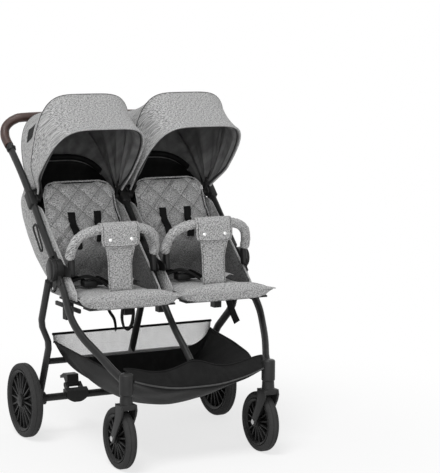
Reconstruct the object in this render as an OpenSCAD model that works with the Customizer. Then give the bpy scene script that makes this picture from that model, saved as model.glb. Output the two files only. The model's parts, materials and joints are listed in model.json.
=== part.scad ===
// Side by side double stroller: one folding frame, two seats, two canopies and a basket.
// The stroller faces -Y and stands on Z = 0. Left is -X, as seen from in front.

/* [Wheels] */
// Radius of a rear wheel
rear_wheel_r = 120; // [110:1:130]
// Width of a rear tyre
rear_wheel_w = 36; // [30:1:42]
// Distance between the middles of the rear wheels
rear_track = 700; // [694:1:740]
// Rear axle behind the hub axis
rear_axle_back = 202; // [190:1:215]
// Radius of a front wheel
front_wheel_r = 94; // [86:1:98]
// Width of a front tyre
front_wheel_w = 34; // [28:1:38]
// Distance between the two swivel axes
front_track = 484; // [470:1:500]
// Swivel axes ahead of the hub axis
swivel_ahead = 331; // [325:1:340]
// Trail of a front wheel behind its swivel axis
trail = 45; // [40:1:50]
// Depth of the tyre over its rim
tyre_depth = 20; // [14:1:24]
// Spokes in a rear wheel
rear_spokes = 12; // [8:1:14]
// Spokes in a front wheel
front_spokes = 10; // [8:1:12]

/* [Frame] */
// Height of the fold axis
hub_z = 570; // [560:1:580]
// Radius of the fold hubs
hub_r = 33; // [30:1:36]
// Width of the frame tubes
tube_w = 20; // [18:1:22]
// Depth of the frame tubes
tube_d = 30; // [26:1:32]
// Middle of each push tube from the centre plane
frame_x = 320; // [318:1:324]
// Middle of each rear leg's foot, in from the inner side of the wheel
foot_inset = 32; // [28:1:40]
// Lean of the push tubes from upright
push_lean = 45.5; // [42:0.5:48]
// Straight length of a push tube, from the hub to its canopy clip
push_len = 280; // [265:1:295]
// Diameter of the handle grip
grip_d = 30; // [26:1:34]
// Diameter of the pins of the fold hubs
hub_pin_d = 12; // [10:1:14]
// Diameter of the wheel axles
axle_d = 10; // [8:1:12]
// Diameter of the rear axle beam
beam_d = 24; // [20:1:28]
// Diameter of the upper rear crossbar
crossbar_d = 20; // [16:1:22]
// Diameter of the bowed front bar
front_bar_d = 16; // [14:1:18]
// Drop of the front bar's middle below its ends
front_bar_drop = 37; // [30:1:42]
// Diameter of a swivel housing
housing_d = 42; // [38:1:46]
// Height of a swivel housing
housing_h = 66; // [60:1:72]

/* [Seats] */
// Distance between the middles of the two seats
seat_pitch = 324; // [322:1:328]
// Width of a seat cushion
seat_w = 276; // [264:1:280]
// Height of the seats' top
seat_top = 506; // [502:1:510]
// Thickness of a seat cushion
seat_pad_t = 29; // [26:1:32]
// Reach of a seat cushion ahead of its hinge
seat_reach = 210; // [202:1:215]
// Width of a backrest
back_w = 270; // [258:1:272]
// Height of a backrest along its slope
back_len = 344; // [330:1:352]
// Radius of a backrest's top corners
back_corner = 46; // [36:1:54]
// Thickness of a back cushion
back_pad_t = 30; // [24:1:34]
// Lean of the backrests
back_lean = 23.5; // [20:0.5:25]
// Width of a leg rest
legrest_w = 318; // [306:1:320]
// Reach of a leg rest
legrest_reach = 64; // [56:1:72]
// Rise of a leg rest above the seat
legrest_rise = 12; // [6:1:14]
// Diameter of the seat hinge rods
rod_d = 8; // [6:1:10]
// Thickness of the boards in the seats
board_t = 6; // [5:1:8]
// Spacing of the quilting on the backs, in cells
quilt_cells = 5; // [4:1:6]
// Depth of the quilting
quilt_depth = 5; // [3:0.5:6]

/* [Bumper bars] */
// Diameter of a bumper bar's padded cover
bumper_d = 31; // [27:1:32]
// Half the span of a bumper bar
bumper_half = 143; // [138:1:144]
// Width of a crotch flap at the bar
flap_w = 128; // [116:2:136]

/* [Canopies] */
// Half width of a canopy
canopy_half = 164; // [160:1:166]
// Half width of a canopy at its pivots
canopy_foot = 146; // [145:0.5:147]
// Outward set of a canopy's front part
canopy_out = 10; // [6:1:14]
// Radius of the front edge's arch from the pivot
rim_r = 344; // [334:1:350]
// Radius of the middle bow's arch
mid_r = 350; // [340:1:356]
// Radius of the rear bow's arch
rear_r = 328; // [318:1:334]
// Tilt of the front edge
rim_tilt = -46; // [-48:1:-43]
// Tilt of the middle bow
mid_tilt = -17.5; // [-20:0.5:-15]
// Tilt of the rear bow
rear_tilt = 36; // [34:1:38]
// Sag of the fabric between two bows, as a share of their radius
panel_sag = 0.03; // [0.01:0.005:0.04]
// Diameter of a bow
bow_d = 6; // [5:0.5:6.5]
// Thickness of the fabric
cloth_t = 2; // [1.5:0.5:2.5]

/* [Basket] */
// Height of the basket's rear hem
basket_hem = 340; // [330:1:350]
// Height of the basket's floor
basket_floor = 134; // [126:1:142]
// Thickness of the basket's fabric
basket_t = 3; // [2:0.5:4]

/* [Hidden] */
$fn = 48;
tube_sides = 14;
run_gap = 0.05;
side_gap = 0.3;
soft_gap = 0.6;
hub_y = 38;
seat_x = seat_pitch / 2;
rear_axle_y = hub_y + rear_axle_back;
rear_foot_x = rear_track / 2 - rear_wheel_w / 2 - foot_inset;
swivel_y = hub_y - swivel_ahead;
wheel_y = swivel_y + trail;
push_dir = [0, sin(push_lean), cos(push_lean)];
clip_y = hub_y + push_len * push_dir.y;
clip_z = hub_z + push_len * push_dir.z;
rear_x = frame_x + tube_w + 2 * side_gap + 1;
frame_in = frame_x - tube_w / 2;
rod_y = hub_y + 60;
rod_z = seat_top - 5;
rear_fall = hub_z - rear_wheel_r;
rear_lean = atan2(rear_axle_back, rear_fall);
front_x = front_track / 2;
front_tie = [front_x + 20, hub_y - 281, hub_z - 270];
arm_reach = hub_r + 27;
hub_clear = hub_r + 10;
mid_clear = 98;
front_lean = 220;
lane = (tube_w - 4 * side_gap) / 3;
wheel_gap = 5;
foot_in = rear_foot_x - 18;
foot_out = rear_track / 2 - rear_wheel_w / 2 - 2 * wheel_gap;
foot_r = beam_d / 2 + 9;
crossbar_at = 0.705;
crossbar_y = hub_y + rear_axle_back * crossbar_at;
crossbar_z = hub_z - rear_fall * crossbar_at;
housing_z = 2 * front_wheel_r + 44;
front_foot_z = housing_z + housing_h * 0.55;
front_bar_y = swivel_y + 3;
front_bar_end = housing_z + 45;
front_bar_half = front_x - housing_d / 2 - 1.5;
front_lap = (front_bar_d / 2 + 1.5 * soft_gap + basket_t) / cos(20);
fork_gap = 2.5;
fork_t = 6;
stem_d = 12;
hanger_t = 4;
hanger_out = frame_in - 0.4;
hanger_in = tube_w / 2 + 0.4;
bumper_y = hub_y - 70;
bumper_z = hub_z - 4;
bumper_pin_d = 10;
eye_t = 3.2;
eye_step = 4;
rear_eye = 138.3;
clip_t = 6;
board_z = seat_top - seat_pad_t - soft_gap;
leg_axis_y = rod_y - seat_reach - 4;
leg_axis_z = board_z - board_t / 2;
leg_pin_d = 6;
lug_t = 6;
lug_r = rod_d / 2 + 4;
block_h = 68;
brake_x = -172;
brake_w = 76;
pedal_w = 40;
brake_pin_y = rear_axle_y + 24;
brake_pin_z = rear_wheel_r + 30;
handle_y = clip_y + 190;
handle_z = clip_z + 159;
front_end = wheel_y - front_wheel_r;
back_end = handle_y + 54.2 + grip_d / 2;
middle_y = (front_end + back_end) / 2;

charcoal = "#2b2d2f";
black = "#1b1c1e";
grey = "#a6a8a9";
brown = "#3d2a24";
steel = "#b9bcbf";

// Curves, sections and grids
function unit(v) = v / norm(v);
function mix(a, b, t) = a + (b - a) * t;
function clamp(t) = max(0, min(1, t));
function smooth(t) = let (k = clamp(t)) k * k * (3 - 2 * k);
function knot(p, i) = p[max(0, min(len(p) - 1, i))];
function spline(a, b, c, d, t) =
    0.5 * (2 * b + (c - a) * t + (2 * a - 5 * b + 4 * c - d) * t * t + (3 * b - a - 3 * c + d) * t * t * t);
function bend(p, k) = concat(
    [for (i = [0:len(p) - 2]) for (j = [0:k - 1])
        spline(knot(p, i - 1), p[i], p[i + 1], knot(p, i + 2), j / k)],
    [p[len(p) - 1]]);
function headings(p) = [for (i = [0:len(p) - 1]) unit(knot(p, i + 1) - knot(p, i - 1))];
function carried(t, n, i = 0) = i == len(t) ? [] :
    let (m = unit(n - (n * t[i]) * t[i])) concat([m], carried(t, m, i + 1));
function both(p) = concat(p, [for (i = [len(p) - 2:-1:0]) [-p[i].x, p[i].y, p[i].z]]);
function arc(c, r, a, b, n) = [for (i = [0:n]) let (t = mix(a, b, i / n)) c + r * [cos(t), sin(t)]];
function grid_normal(g, r, c) =
    unit(cross(knot(g[r], c + 1) - knot(g[r], c - 1), knot(g, r + 1)[c] - knot(g, r - 1)[c]));
function behind(g, t) =
    [for (r = [0:len(g) - 1]) [for (c = [0:len(g[0]) - 1]) g[r][c] - t * grid_normal(g, r, c)]];
function share(a) = 90 * sin(90 * a);
function power(v, p) = sign(v) * pow(abs(v), p);

// A tube of oval section along a path; side is the direction of its width
module tube(path, w = tube_w, d = tube_d, side = [1, 0, 0], sides = tube_sides) {
    t = headings(path);
    n = carried(t, side);
    points = [for (i = [0:len(path) - 1]) for (j = [0:sides - 1])
        let (a = 360 * j / sides)
        path[i] + n[i] * cos(a) * w / 2 + cross(t[i], n[i]) * sin(a) * d / 2];
    last = (len(path) - 1) * sides;
    walls = [for (i = [0:len(path) - 2]) for (j = [0:sides - 1])
        let (k = (j + 1) % sides, a = i * sides, b = a + sides)
        each [[a + j, b + j, b + k], [a + j, b + k, a + k]]];
    start = [for (j = [0:sides - 1]) j];
    end = [for (j = [sides - 1:-1:0]) last + j];
    polyhedron(points, concat(walls, [start, end]), convexity = 6);
}

// A closed solid between a front grid and a back grid of the same size
module between(a, b) {
    n = len(a);
    m = len(a[0]);
    h = n * m;
    points = concat([for (r = a) each r], [for (r = b) each r]);
    faces = [for (r = [0:n - 2]) for (c = [0:m - 2])
        let (p = r * m + c, q = p + m)
        each [[p, q, q + 1], [p, q + 1, p + 1], [h + p, h + q + 1, h + q], [h + p, h + p + 1, h + q + 1]]];
    ends = [for (c = [0:m - 2])
        let (p = c, q = (n - 1) * m + c)
        each [[p, p + 1, h + p + 1], [p, h + p + 1, h + p], [q + 1, q, h + q], [q + 1, h + q, h + q + 1]]];
    edges = [for (r = [0:n - 2])
        let (p = r * m, q = p + m, i = p + m - 1, j = q + m - 1)
        each [[q, p, h + p], [q, h + p, h + q], [i, j, h + j], [i, h + j, h + i]]];
    polyhedron(points, concat(faces, ends, edges), convexity = 8);
}

module sheet(g, t) between(g, behind(g, t));

module sided(s) mirror([s < 0 ? 1 : 0, 0, 0]) children();

module placed() translate([0, -middle_y, 0]) children();

module rod(x0, x1, y, z, r) translate([x0, y, z]) rotate([0, 90, 0]) cylinder(h = x1 - x0, r = r);

// A plate square to X: its outline is drawn in [Y, Z]
module plate(x0, x1) translate([x0, 0, 0]) rotate([90, 0, 90]) linear_extrude(x1 - x0) children();

// A strap between two round ends, drawn in [Y, Z]
module strap(p, rp, q, rq) {
    side = unit([p.y - q.y, q.x - p.x]);
    translate(p) circle(rp);
    translate(q) circle(rq);
    polygon([p + side * rp * 0.97, q + side * rq * 0.97, q - side * rq * 0.97, p - side * rp * 0.97]);
}

// A flat arm from the hub axis; lean is measured back from upright
module hub_arm(x0, x1, lean, reach) plate(x0, x1) difference() {
    hub = [hub_y, hub_z];
    union() {
        translate(hub) circle(hub_r);
        translate(hub) rotate(90 - lean) translate([0, -tube_d * 0.42]) square([reach, tube_d * 0.84]);
    }
    translate(hub) circle(hub_pin_d / 2 + run_gap);
}

// Rear frame
function rear_leg_x(f) = mix(rear_x, rear_foot_x, smooth((f - 0.37) / 0.23));
function rear_leg_at(f, x) = [x, hub_y + rear_axle_back * f, hub_z - rear_fall * f];
rear_from = hub_clear / norm([rear_axle_back, rear_fall]);

module rear_leg(s) color(charcoal) sided(s) {
    hub_arm(rear_x - tube_w / 2, rear_x + 1, 180 - rear_lean, arm_reach);
    difference() {
        tube([for (i = [0:16]) let (f = mix(rear_from, 1, i / 16)) rear_leg_at(f, rear_leg_x(f))]);
        rod(foot_in - 1, foot_out + 1, rear_axle_y, rear_wheel_r, foot_r + 0.2);
    }
}

module rear_leg_centre() color(charcoal) {
    hub_arm(-tube_w / 2, -tube_w / 2 + lane, 180 - rear_lean, mid_clear + 12);
    difference() {
        tube([for (i = [0:3]) rear_leg_at(mix(0.2, crossbar_at, i / 3), 0)]);
        rod(-tube_w, tube_w, crossbar_y, crossbar_z, crossbar_d / 2 + 0.2);
    }
}

module rear_axle_beam() color(charcoal)
    rod(-foot_in, foot_in, rear_axle_y, rear_wheel_r, beam_d / 2);

module rear_crossbar() color(charcoal) {
    reach = rear_foot_x - tube_w / 2 - 0.2;
    rod(-reach, reach, crossbar_y, crossbar_z, crossbar_d / 2);
}

module axle_brackets() color(black) for (s = [-1, 1]) sided(s) difference() {
    rod(foot_in, foot_out, rear_axle_y, rear_wheel_r, foot_r);
    rod(foot_in + 12, foot_out + 1, rear_axle_y, rear_wheel_r, axle_d / 2 + 0.02);
}

module pivot_pins() color(steel) {
    for (s = [-1, 1]) sided(s) {
        rod(hanger_out - hanger_t, rear_x + 1, hub_y, hub_z, hub_pin_d / 2);
        rod(foot_in + 12, rear_track / 2 + rear_wheel_w / 2, rear_axle_y, rear_wheel_r, axle_d / 2);
    }
    rod(-hanger_in - hanger_t, hanger_in + hanger_t, hub_y, hub_z, hub_pin_d / 2);
}

module hub_covers() color(black) for (s = [-1, 1]) sided(s)
    translate([rear_x + 1, hub_y, hub_z]) rotate([0, 90, 0]) rotate_extrude()
        polygon(concat([[0, 0], [hub_r + 7, 0]], arc([hub_r + 1, 6], 6, 0, 80, 5), [[0, 13.5]]));

module brake_housing() color(black) {
    x0 = brake_x - brake_w / 2;
    x1 = brake_x + brake_w / 2;
    difference() {
        union() {
            intersection() {
                plate(x0, x1) polygon([
                    [rear_axle_y - beam_d / 2 - 6, rear_wheel_r - beam_d / 2 - 8],
                    [rear_axle_y + beam_d / 2 + 4, rear_wheel_r - beam_d / 2 - 8],
                    [brake_pin_y - 10, brake_pin_z - 10],
                    [rear_axle_y - 4, rear_wheel_r + beam_d / 2 + 14],
                    [rear_axle_y - beam_d / 2 - 6, rear_wheel_r + beam_d / 2 + 6]]);
                translate([brake_x, rear_axle_y - 60, rear_wheel_r + 26]) rotate([-90, 0, 0])
                    cylinder(h = 120, r = brake_w * 0.62);
            }
            for (x = [brake_x - pedal_w / 2 - 8.5, brake_x + pedal_w / 2 + 0.5]) plate(x, x + 8)
                strap([rear_axle_y + 6, rear_wheel_r + 14], 12, [brake_pin_y, brake_pin_z], 9);
        }
        rod(x0 - 1, x1 + 1, rear_axle_y, rear_wheel_r, beam_d / 2 + 0.1);
    }
    rod(brake_x - pedal_w / 2 - 5, brake_x + pedal_w / 2 + 5, brake_pin_y, brake_pin_z, 3);
}

module brake_pedal() color(black) difference() {
    x0 = brake_x - pedal_w / 2;
    x1 = brake_x + pedal_w / 2;
    at = [brake_pin_y, brake_pin_z];
    union() {
        rod(x0, x1, brake_pin_y, brake_pin_z, 7);
        plate(x0, x1) polygon([
            for (p = [[-5, 4], [-2, 34], [30, 34], [58, 20], [55, 12], [30, 22], [6, -4]]) at + p]);
    }
    rod(x0 - 1, x1 + 1, brake_pin_y, brake_pin_z, 3 + run_gap);
}

// Basket
basket_half = rear_foot_x - 20;
function front_bar_fall(x) = front_bar_drop * (1 - pow(abs(x) / front_bar_half, 2.2));
function front_bar_at(x) = [x, front_bar_y, front_bar_end - front_bar_fall(x)];
basket_rows = concat(
    bend([
        [crossbar_y - 23, crossbar_z - 10, basket_hem - 22, basket_half + 2],
        [crossbar_y - 28, basket_floor + 46, basket_hem - 20, basket_half],
        [hub_y + 74, basket_floor, basket_hem - 24, basket_half - 4],
        [hub_y - 60, basket_floor, basket_hem - 34, basket_half - 12],
        [hub_y - 190, basket_floor + 24, basket_hem - 48, basket_half - 28],
        [hub_y - 272, basket_floor + 60, basket_hem - 64, front_x - 18]], 2),
    [for (p = arc([front_bar_y, front_bar_end], front_lap, 270, 110, 4))
        [p.x, p.y - front_bar_drop, p.y, front_bar_half - 1]],
    [[front_tie.y - 16, front_tie.z - 2, front_tie.z - 2, front_bar_half - 1]]);

module basket_tub() color(black)
    sheet([for (r = basket_rows) [for (c = [-8:8])
        let (u = c / 8) [u * r[3], r[0], mix(r[1], r[2], pow(abs(u), 2.2))]]], basket_t);

mesh_line = bend([
    [crossbar_y + crossbar_d / 2 - 0.94, crossbar_z - 5], [crossbar_y + crossbar_d / 2 + 8, crossbar_z + 8],
    [crossbar_y + 6, mix(crossbar_z, basket_hem, 0.5)], [hub_y + 128, basket_hem]], 2);

module basket_mesh() color("#d9dadb")
    sheet([for (p = mesh_line) [for (c = [-8:8]) [c / 8 * basket_half, p.x, p.y]]], 1.5);

// Wheels, drawn with their axle along Z and moved to the axle
module tyre(r, w) {
    in = r - tyre_depth;
    rotate_extrude($fn = 72) polygon(concat(
        [[in, -w / 2 + 5], [in + 7, -w / 2]], arc([r - 11, -w / 2 + 11], 11, -90, 0, 5),
        arc([r - 11, w / 2 - 11], 11, 0, 90, 5), [[in + 7, w / 2], [in, w / 2 - 5]]));
}

module rim(r, w, spokes, hub_h0, hub_h1) {
    out = r - tyre_depth;
    hub = r * 0.18;
    difference() {
        union() {
            rotate_extrude($fn = 72) polygon([
                [out - 9, -w / 2 + 8], [out - 0.02, -w / 2 + 6],
                [out - 0.02, w / 2 - 6], [out - 9, w / 2 - 8]]);
            translate([0, 0, hub_h0]) cylinder(h = hub_h1 - hub_h0, r = hub);
            for (i = [0:spokes - 1]) rotate(i * 360 / spokes)
                translate([hub - 2, -r * 0.025, -4]) cube([out - hub - 4, r * 0.05, 9]);
        }
        translate([0, 0, hub_h0 - 1]) cylinder(h = hub_h1 - hub_h0 + 2, r = axle_d / 2 + run_gap);
    }
}

module rear_wheel_place(s) sided(s) translate([rear_track / 2, rear_axle_y, rear_wheel_r])
    rotate([0, 90, 0]) children();
module front_wheel_place(s) sided(s) translate([front_x, wheel_y, front_wheel_r])
    rotate([0, 90, 0]) children();

module rear_tyre(s) color(black) rear_wheel_place(s) tyre(rear_wheel_r, rear_wheel_w);
module rear_rim(s) color(charcoal) rear_wheel_place(s)
    rim(rear_wheel_r, rear_wheel_w, rear_spokes, -rear_wheel_w / 2 - wheel_gap, rear_wheel_w / 2 - 4);
module front_tyre(s) color(black) front_wheel_place(s) tyre(front_wheel_r, front_wheel_w);
module front_rim(s) color(charcoal) front_wheel_place(s)
    rim(front_wheel_r, front_wheel_w, front_spokes, -front_wheel_w / 2 - 1.5, front_wheel_w / 2 + 1.5);

// Front frame
function front_path(x, end) = bend([
    [frame_x * x, hub_y - 27, hub_z - 33], [frame_x * x, hub_y - 62, hub_z - 76],
    [(frame_x + 4) * x, hub_y - 100, hub_z - 117], [(frame_x + 2) * x, hub_y - 136, hub_z - 152],
    [(frame_x - 11) * x, hub_y - 178, hub_z - 189], [(frame_x - 34) * x, hub_y - 234, hub_z - 229], end], 3);
front_end_side = [front_x, swivel_y, front_foot_z];

module front_leg(s) color(charcoal) sided(s) {
    hub_arm(frame_x + side_gap, frame_x + tube_w / 2, front_lean, arm_reach);
    difference() {
        tube(concat(front_path(1, front_tie), [front_end_side]));
        translate([front_x, swivel_y, housing_z - 20]) cylinder(h = housing_h + 60, d = housing_d + 0.4);
    }
}

module front_bar(more = 0)
    tube([for (c = [-9:9]) front_bar_at(c / 8 * front_bar_half)],
        w = front_bar_d + more, d = front_bar_d + more, side = [0, 1, 0]);

module front_leg_centre() color(charcoal) {
    hub_arm(-lane / 2, lane / 2, front_lean, mid_clear + 14);
    path = front_path(0, [0, front_tie.y, front_tie.z + 4]);
    difference() {
        union() {
            tube([for (i = [3:len(path) - 1]) path[i]], d = tube_d - 6);
            tube([path[len(path) - 2], front_bar_at(0)], w = tube_w - 8, d = tube_w - 8);
        }
        front_bar(0.4);
    }
}

module front_crossbar() color(charcoal) difference() {
    front_bar();
    for (s = [-1, 1]) sided(s)
        translate([front_x, swivel_y, housing_z - 1]) cylinder(h = housing_h + 2, d = housing_d + 0.4);
}

module swivel_housings() color(black) for (s = [-1, 1]) sided(s) translate([front_x, swivel_y, housing_z])
    difference() {
        rotate_extrude() polygon(concat(
            [[0, 0], [housing_d / 2 - 2, 0], [housing_d / 2, 3]],
            arc([housing_d / 2 - 6, housing_h - 6], 6, 0, 90, 5), [[0, housing_h]]));
        translate([0, 0, -1]) cylinder(h = housing_h - 9, d = stem_d + 2 * run_gap);
    }

module fork(s) color(black) sided(s) {
    low = 2 * front_wheel_r;
    half = front_wheel_w / 2 + fork_gap;
    difference() {
        union() {
            translate([front_x, swivel_y, low + 8]) cylinder(h = housing_z - low - 8.5, d = housing_d - 8);
            translate([front_x, swivel_y, low + 6])
                cylinder(h = housing_z - low + housing_h - 22, d = stem_d);
            translate([front_x - half - fork_t, swivel_y - 18, low]) cube([2 * (half + fork_t), 36, 13]);
            for (x = [front_x - half - fork_t, front_x + half])
                plate(x, x + fork_t) strap([swivel_y, low - 4], 17, [wheel_y, front_wheel_r], 13);
        }
        rod(front_x - half - 20, front_x + half + 20, wheel_y, front_wheel_r, axle_d / 2 + 0.02);
    }
}

module wheel_bolt(s) color(steel) sided(s) {
    half = front_wheel_w / 2 + fork_gap + fork_t;
    rod(front_x - half, front_x + half, wheel_y, front_wheel_r, axle_d / 2);
    rod(front_x - half - 3, front_x - half, wheel_y, front_wheel_r, axle_d * 0.8);
    rod(front_x + half, front_x + half + 3, wheel_y, front_wheel_r, axle_d * 0.8);
}

// Push frame
push_bend = [frame_x, clip_y + 100, clip_z + 91];

module push_tube(s) color(charcoal) sided(s) {
    hub_arm(frame_in, frame_x - side_gap, push_lean, arm_reach);
    at = [frame_x, hub_y, hub_z];
    tube(bend([
        at + push_dir * hub_clear, at + push_dir * push_len / 2, [frame_x, clip_y, clip_z],
        push_bend, [frame_x, handle_y, handle_z]], 4));
}

module push_tube_centre() color(charcoal) {
    hub_arm(tube_w / 2 - lane, tube_w / 2, push_lean, mid_clear + 12);
    at = [0, hub_y, hub_z];
    tube([for (r = [mid_clear, push_len / 2, push_len, push_len + 24]) at + push_dir * r]);
}

module handle_grip() color(brown)
    tube(bend(both([
        [frame_x, handle_y + 0.8, handle_z + 0.6], [frame_x, handle_y + 36, handle_z + 28],
        [frame_x - 10, handle_y + 54, handle_z + 58], [frame_x - 38, handle_y + 48, handle_z + 82],
        [frame_x - 86, handle_y + 38, handle_z + 90], [0, handle_y + 30, handle_z + 93]]), 4),
        w = grip_d, d = grip_d);

// Bosses with pins that carry the canopies
module canopy_clips() color(black) for (s = [-1, 1]) sided(s) {
    pin_in = seat_x + rear_eye - 2 * eye_step - 1;
    rod(frame_in - clip_t, frame_in - 0.1, clip_y, clip_z, 16);
    rod(pin_in, frame_in - clip_t, clip_y, clip_z, 3);
    rod(tube_w / 2 + 0.1, tube_w / 2 + clip_t, clip_y, clip_z, 16);
    rod(tube_w / 2 + clip_t, seat_pitch - pin_in, clip_y, clip_z, 3);
}

module seat_hangers() color(black) for (s = [-1, 1]) sided(s)
    for (x = [hanger_out - hanger_t, hanger_in]) difference() {
        union() {
            plate(x, x + hanger_t) union() {
                strap([hub_y, hub_z], 22, [rod_y, rod_z], 13);
                strap([hub_y, hub_z], 22, [bumper_y, bumper_z], 13);
            }
            if (x > seat_x)
                rod(x - 11, x, bumper_y, bumper_z, bumper_pin_d / 2);
            else
                rod(x + hanger_t, x + hanger_t + 11, bumper_y, bumper_z, bumper_pin_d / 2);
        }
        rod(x - 1, x + hanger_t + 1, hub_y, hub_z, hub_pin_d / 2 + run_gap);
        rod(x - 1, x + hanger_t + 1, rod_y, rod_z, rod_d / 2 + 0.02);
    }

module hinge_rods() color(steel) for (s = [-1, 1]) sided(s)
    rod(hanger_in, hanger_out, rod_y, rod_z, rod_d / 2);

// Canopies: arches about the clip's axis, tilted back from upright
function arch_power(tilt) = lookup(tilt, [[rim_tilt, 4.6], [mid_tilt, 4.6], [rear_tilt, 2.8], [80, 4]]);
function arch_radius(tilt) = lookup(tilt, [
    [rim_tilt, rim_r], [mid_tilt, mid_r], [rear_tilt, rear_r], [rear_tilt + 8, rear_r - 76],
    [rear_tilt + 22, rear_r - 140], [rear_tilt + 51, 166]]);
function arch_half(tilt) =
    lookup(tilt, [[mid_tilt, canopy_half], [rear_tilt, canopy_half - 6], [rear_tilt + 8, canopy_foot - 5]]);
function arch_shift(tilt) = lookup(tilt, [[mid_tilt, canopy_out], [rear_tilt, 0]]);
function arch_at(tilt, f, inset, foot) = let (
    a = share(f), e = 2 / arch_power(tilt),
    s = (arch_radius(tilt) - inset) * pow(max(cos(a), 0), e),
    k = smooth((s - 20) / 110), w = mix(foot, arch_half(tilt) - inset, k))
    [w * power(sin(a), e) + k * arch_shift(tilt), clip_y + s * sin(tilt), clip_z + s * cos(tilt)];

bow_root = 48;
bow_inset = cloth_t + bow_d / 2 + soft_gap + 1.4;
mid_bow_inset = bow_inset + soft_gap;
rear_bow_inset = bow_inset + 7;

module bow(tilt, eye, inset = bow_inset) {
    tube([for (i = [-14:14]) arch_at(tilt, i / 14 * arch_end(tilt), inset, eye)],
        w = bow_d, d = bow_d, sides = 8, side = [0, cos(tilt), -sin(tilt)]);
    for (k = [-1, 1]) difference() {
        union() {
            rod(k * eye - eye_t / 2, k * eye + eye_t / 2, clip_y, clip_z, 9);
            plate(k * eye - eye_t / 2, k * eye + eye_t / 2)
                strap([clip_y, clip_z], 5, [clip_y + bow_root * sin(tilt), clip_z + bow_root * cos(tilt)], 4);
        }
        rod(k * eye - eye_t, k * eye + eye_t, clip_y, clip_z, 3 + run_gap);
    }
}

module rear_bows() color(charcoal) for (s = [-1, 1]) sided(s) translate([seat_x, 0, 0])
    bow(rear_tilt - 1, rear_eye + eye_t / 2, rear_bow_inset);
module mid_bow(s) color(charcoal) sided(s) translate([seat_x, 0, 0])
    bow(mid_tilt, rear_eye + eye_t / 2 - eye_step, mid_bow_inset);
module front_bow(s) color(charcoal) sided(s) translate([seat_x, 0, 0])
    bow(rim_tilt, rear_eye + eye_t / 2 - 2 * eye_step);

function arch_end(tilt) =
    lookup(tilt, [[rim_tilt, 0.955], [mid_tilt, 0.93], [rear_tilt, 0.84], [rear_tilt + 51, 0.8]]);
function on_canopy(tilt, f) = arch_at(tilt, f * arch_end(tilt), 0, canopy_foot);
// Fabric stretched from one bow to the next, drawn in towards the pivot between them
function stretched(a, b, t, f) = let (
    p = mix(on_canopy(a, f), on_canopy(b, f), t), pivot = [0, clip_y, clip_z])
    mix(p, pivot, panel_sag * 4 * t * (1 - t));
canopy_columns = [for (i = [-10:10]) i / 10];

module canopy(s) color(grey) sided(s) translate([seat_x, 0, 0]) sheet(concat(
    [for (i = [0:4]) [for (f = canopy_columns) stretched(rim_tilt, mid_tilt, i / 5, f)]],
    [for (i = [0:5]) [for (f = canopy_columns) stretched(mid_tilt, rear_tilt, i / 6, f)]],
    [for (i = [0:5]) [for (f = canopy_columns) on_canopy(mix(rear_tilt, rear_tilt + 51, i / 5), f)]]),
    cloth_t);

// Fabric round the sides and back of a seat
tub_rows = [
    [rod_z + 13, rod_y + 72], [rod_z + 42, rod_y + 130], [rod_z + 84, rod_y + 196],
    [rod_z + 140, rod_y + 248], [rod_z + 232, rod_y + 298], [clip_z + 1, rod_y + 303]];
tub_half = seat_x - hanger_in - hanger_t - soft_gap - cloth_t - 4;
function tub_front(z) = z > clip_z - 26 ? clip_y + 24 + (z - clip_z) * 0.6 :
    mix(rod_y - 172, clip_y - 18, (z - tub_rows[0][0]) / (clip_z - 26 - tub_rows[0][0]));
function tub_at(f, z) = let (a = share(f))
    [tub_half * power(sin(a), 0.24), mix(tub_front(z), lookup(z, tub_rows), pow(max(cos(a), 0), 0.24)), z];

module seat_tub(s) color(grey) translate([s * seat_x, 0, 0])
    sheet([for (r = [0:10]) [for (c = [-9:9])
        tub_at(c / 9, mix(tub_rows[0][0], tub_rows[5][0], r / 10))]], cloth_t);

// Backrests, drawn upright about the hinge rod and leaned back
module leaned(s) translate([s * seat_x, rod_y, rod_z]) rotate([-back_lean, 0, 0]) children();
back_low = 10;
back_cols = 18;
back_rows = 22;
function back_half(v) = let (k = clamp((v - 1) * back_len / back_corner + 1))
    back_w / 2 * (1 - 0.065 * smooth((v - 0.58) / 0.16)) - back_corner * (1 - sqrt(1 - k * k));
function on_quilt(i, j) = (i + j) % quilt_cells == 0 || (i - j + 100 * quilt_cells) % quilt_cells == 0;
function back_at(i, j, front) = let (
    u = 2 * i / back_cols - 1, v = j / back_rows,
    rim = max(pow(abs(u), 5), pow(abs(2 * v - 1), 9)),
    seam = on_quilt(i - back_cols / 2, j) ? quilt_depth * (1 - rim) : 0)
    [u * back_half(v),
        front ? -3 + (back_pad_t - 14) * rim + seam : back_pad_t - 3 - 5 * rim,
        back_low + back_len * v];

module back_board(s) color(black) leaned(s) difference() {
    board_y = back_pad_t - 3 + soft_gap;
    union() {
        translate([-back_w / 2 + 14, board_y, back_low + 6]) cube([back_w - 28, board_t, back_len - 70]);
        for (x = [-116, 110]) plate(x, x + lug_t) union() {
            circle(lug_r);
            translate([0, -lug_r]) square([board_y + board_t, 2 * lug_r]);
            translate([board_y, -lug_r]) square([board_t, back_low + 20]);
        }
    }
    for (x = [-116, 110]) rod(x - 1, x + lug_t + 1, 0, 0, rod_d / 2 + run_gap);
}

module back_pad(s) color(grey) leaned(s) between(
    [for (j = [0:back_rows]) [for (i = [0:back_cols]) back_at(i, j, true)]],
    [for (j = [0:back_rows]) [for (i = [0:back_cols]) back_at(i, j, false)]]);

// Bumper bars
bumper_path = [
    [bumper_half, bumper_y + 9, bumper_z + 40], [bumper_half - 3, bumper_y - 6, bumper_z + 76],
    [bumper_half - 21, bumper_y - 22, bumper_z + 111], [bumper_half - 64, bumper_y - 34, bumper_z + 131],
    [0, bumper_y - 39, bumper_z + 136]];
post_in = bumper_half - 9.5;
post_out = bumper_half - 0.5;

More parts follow.
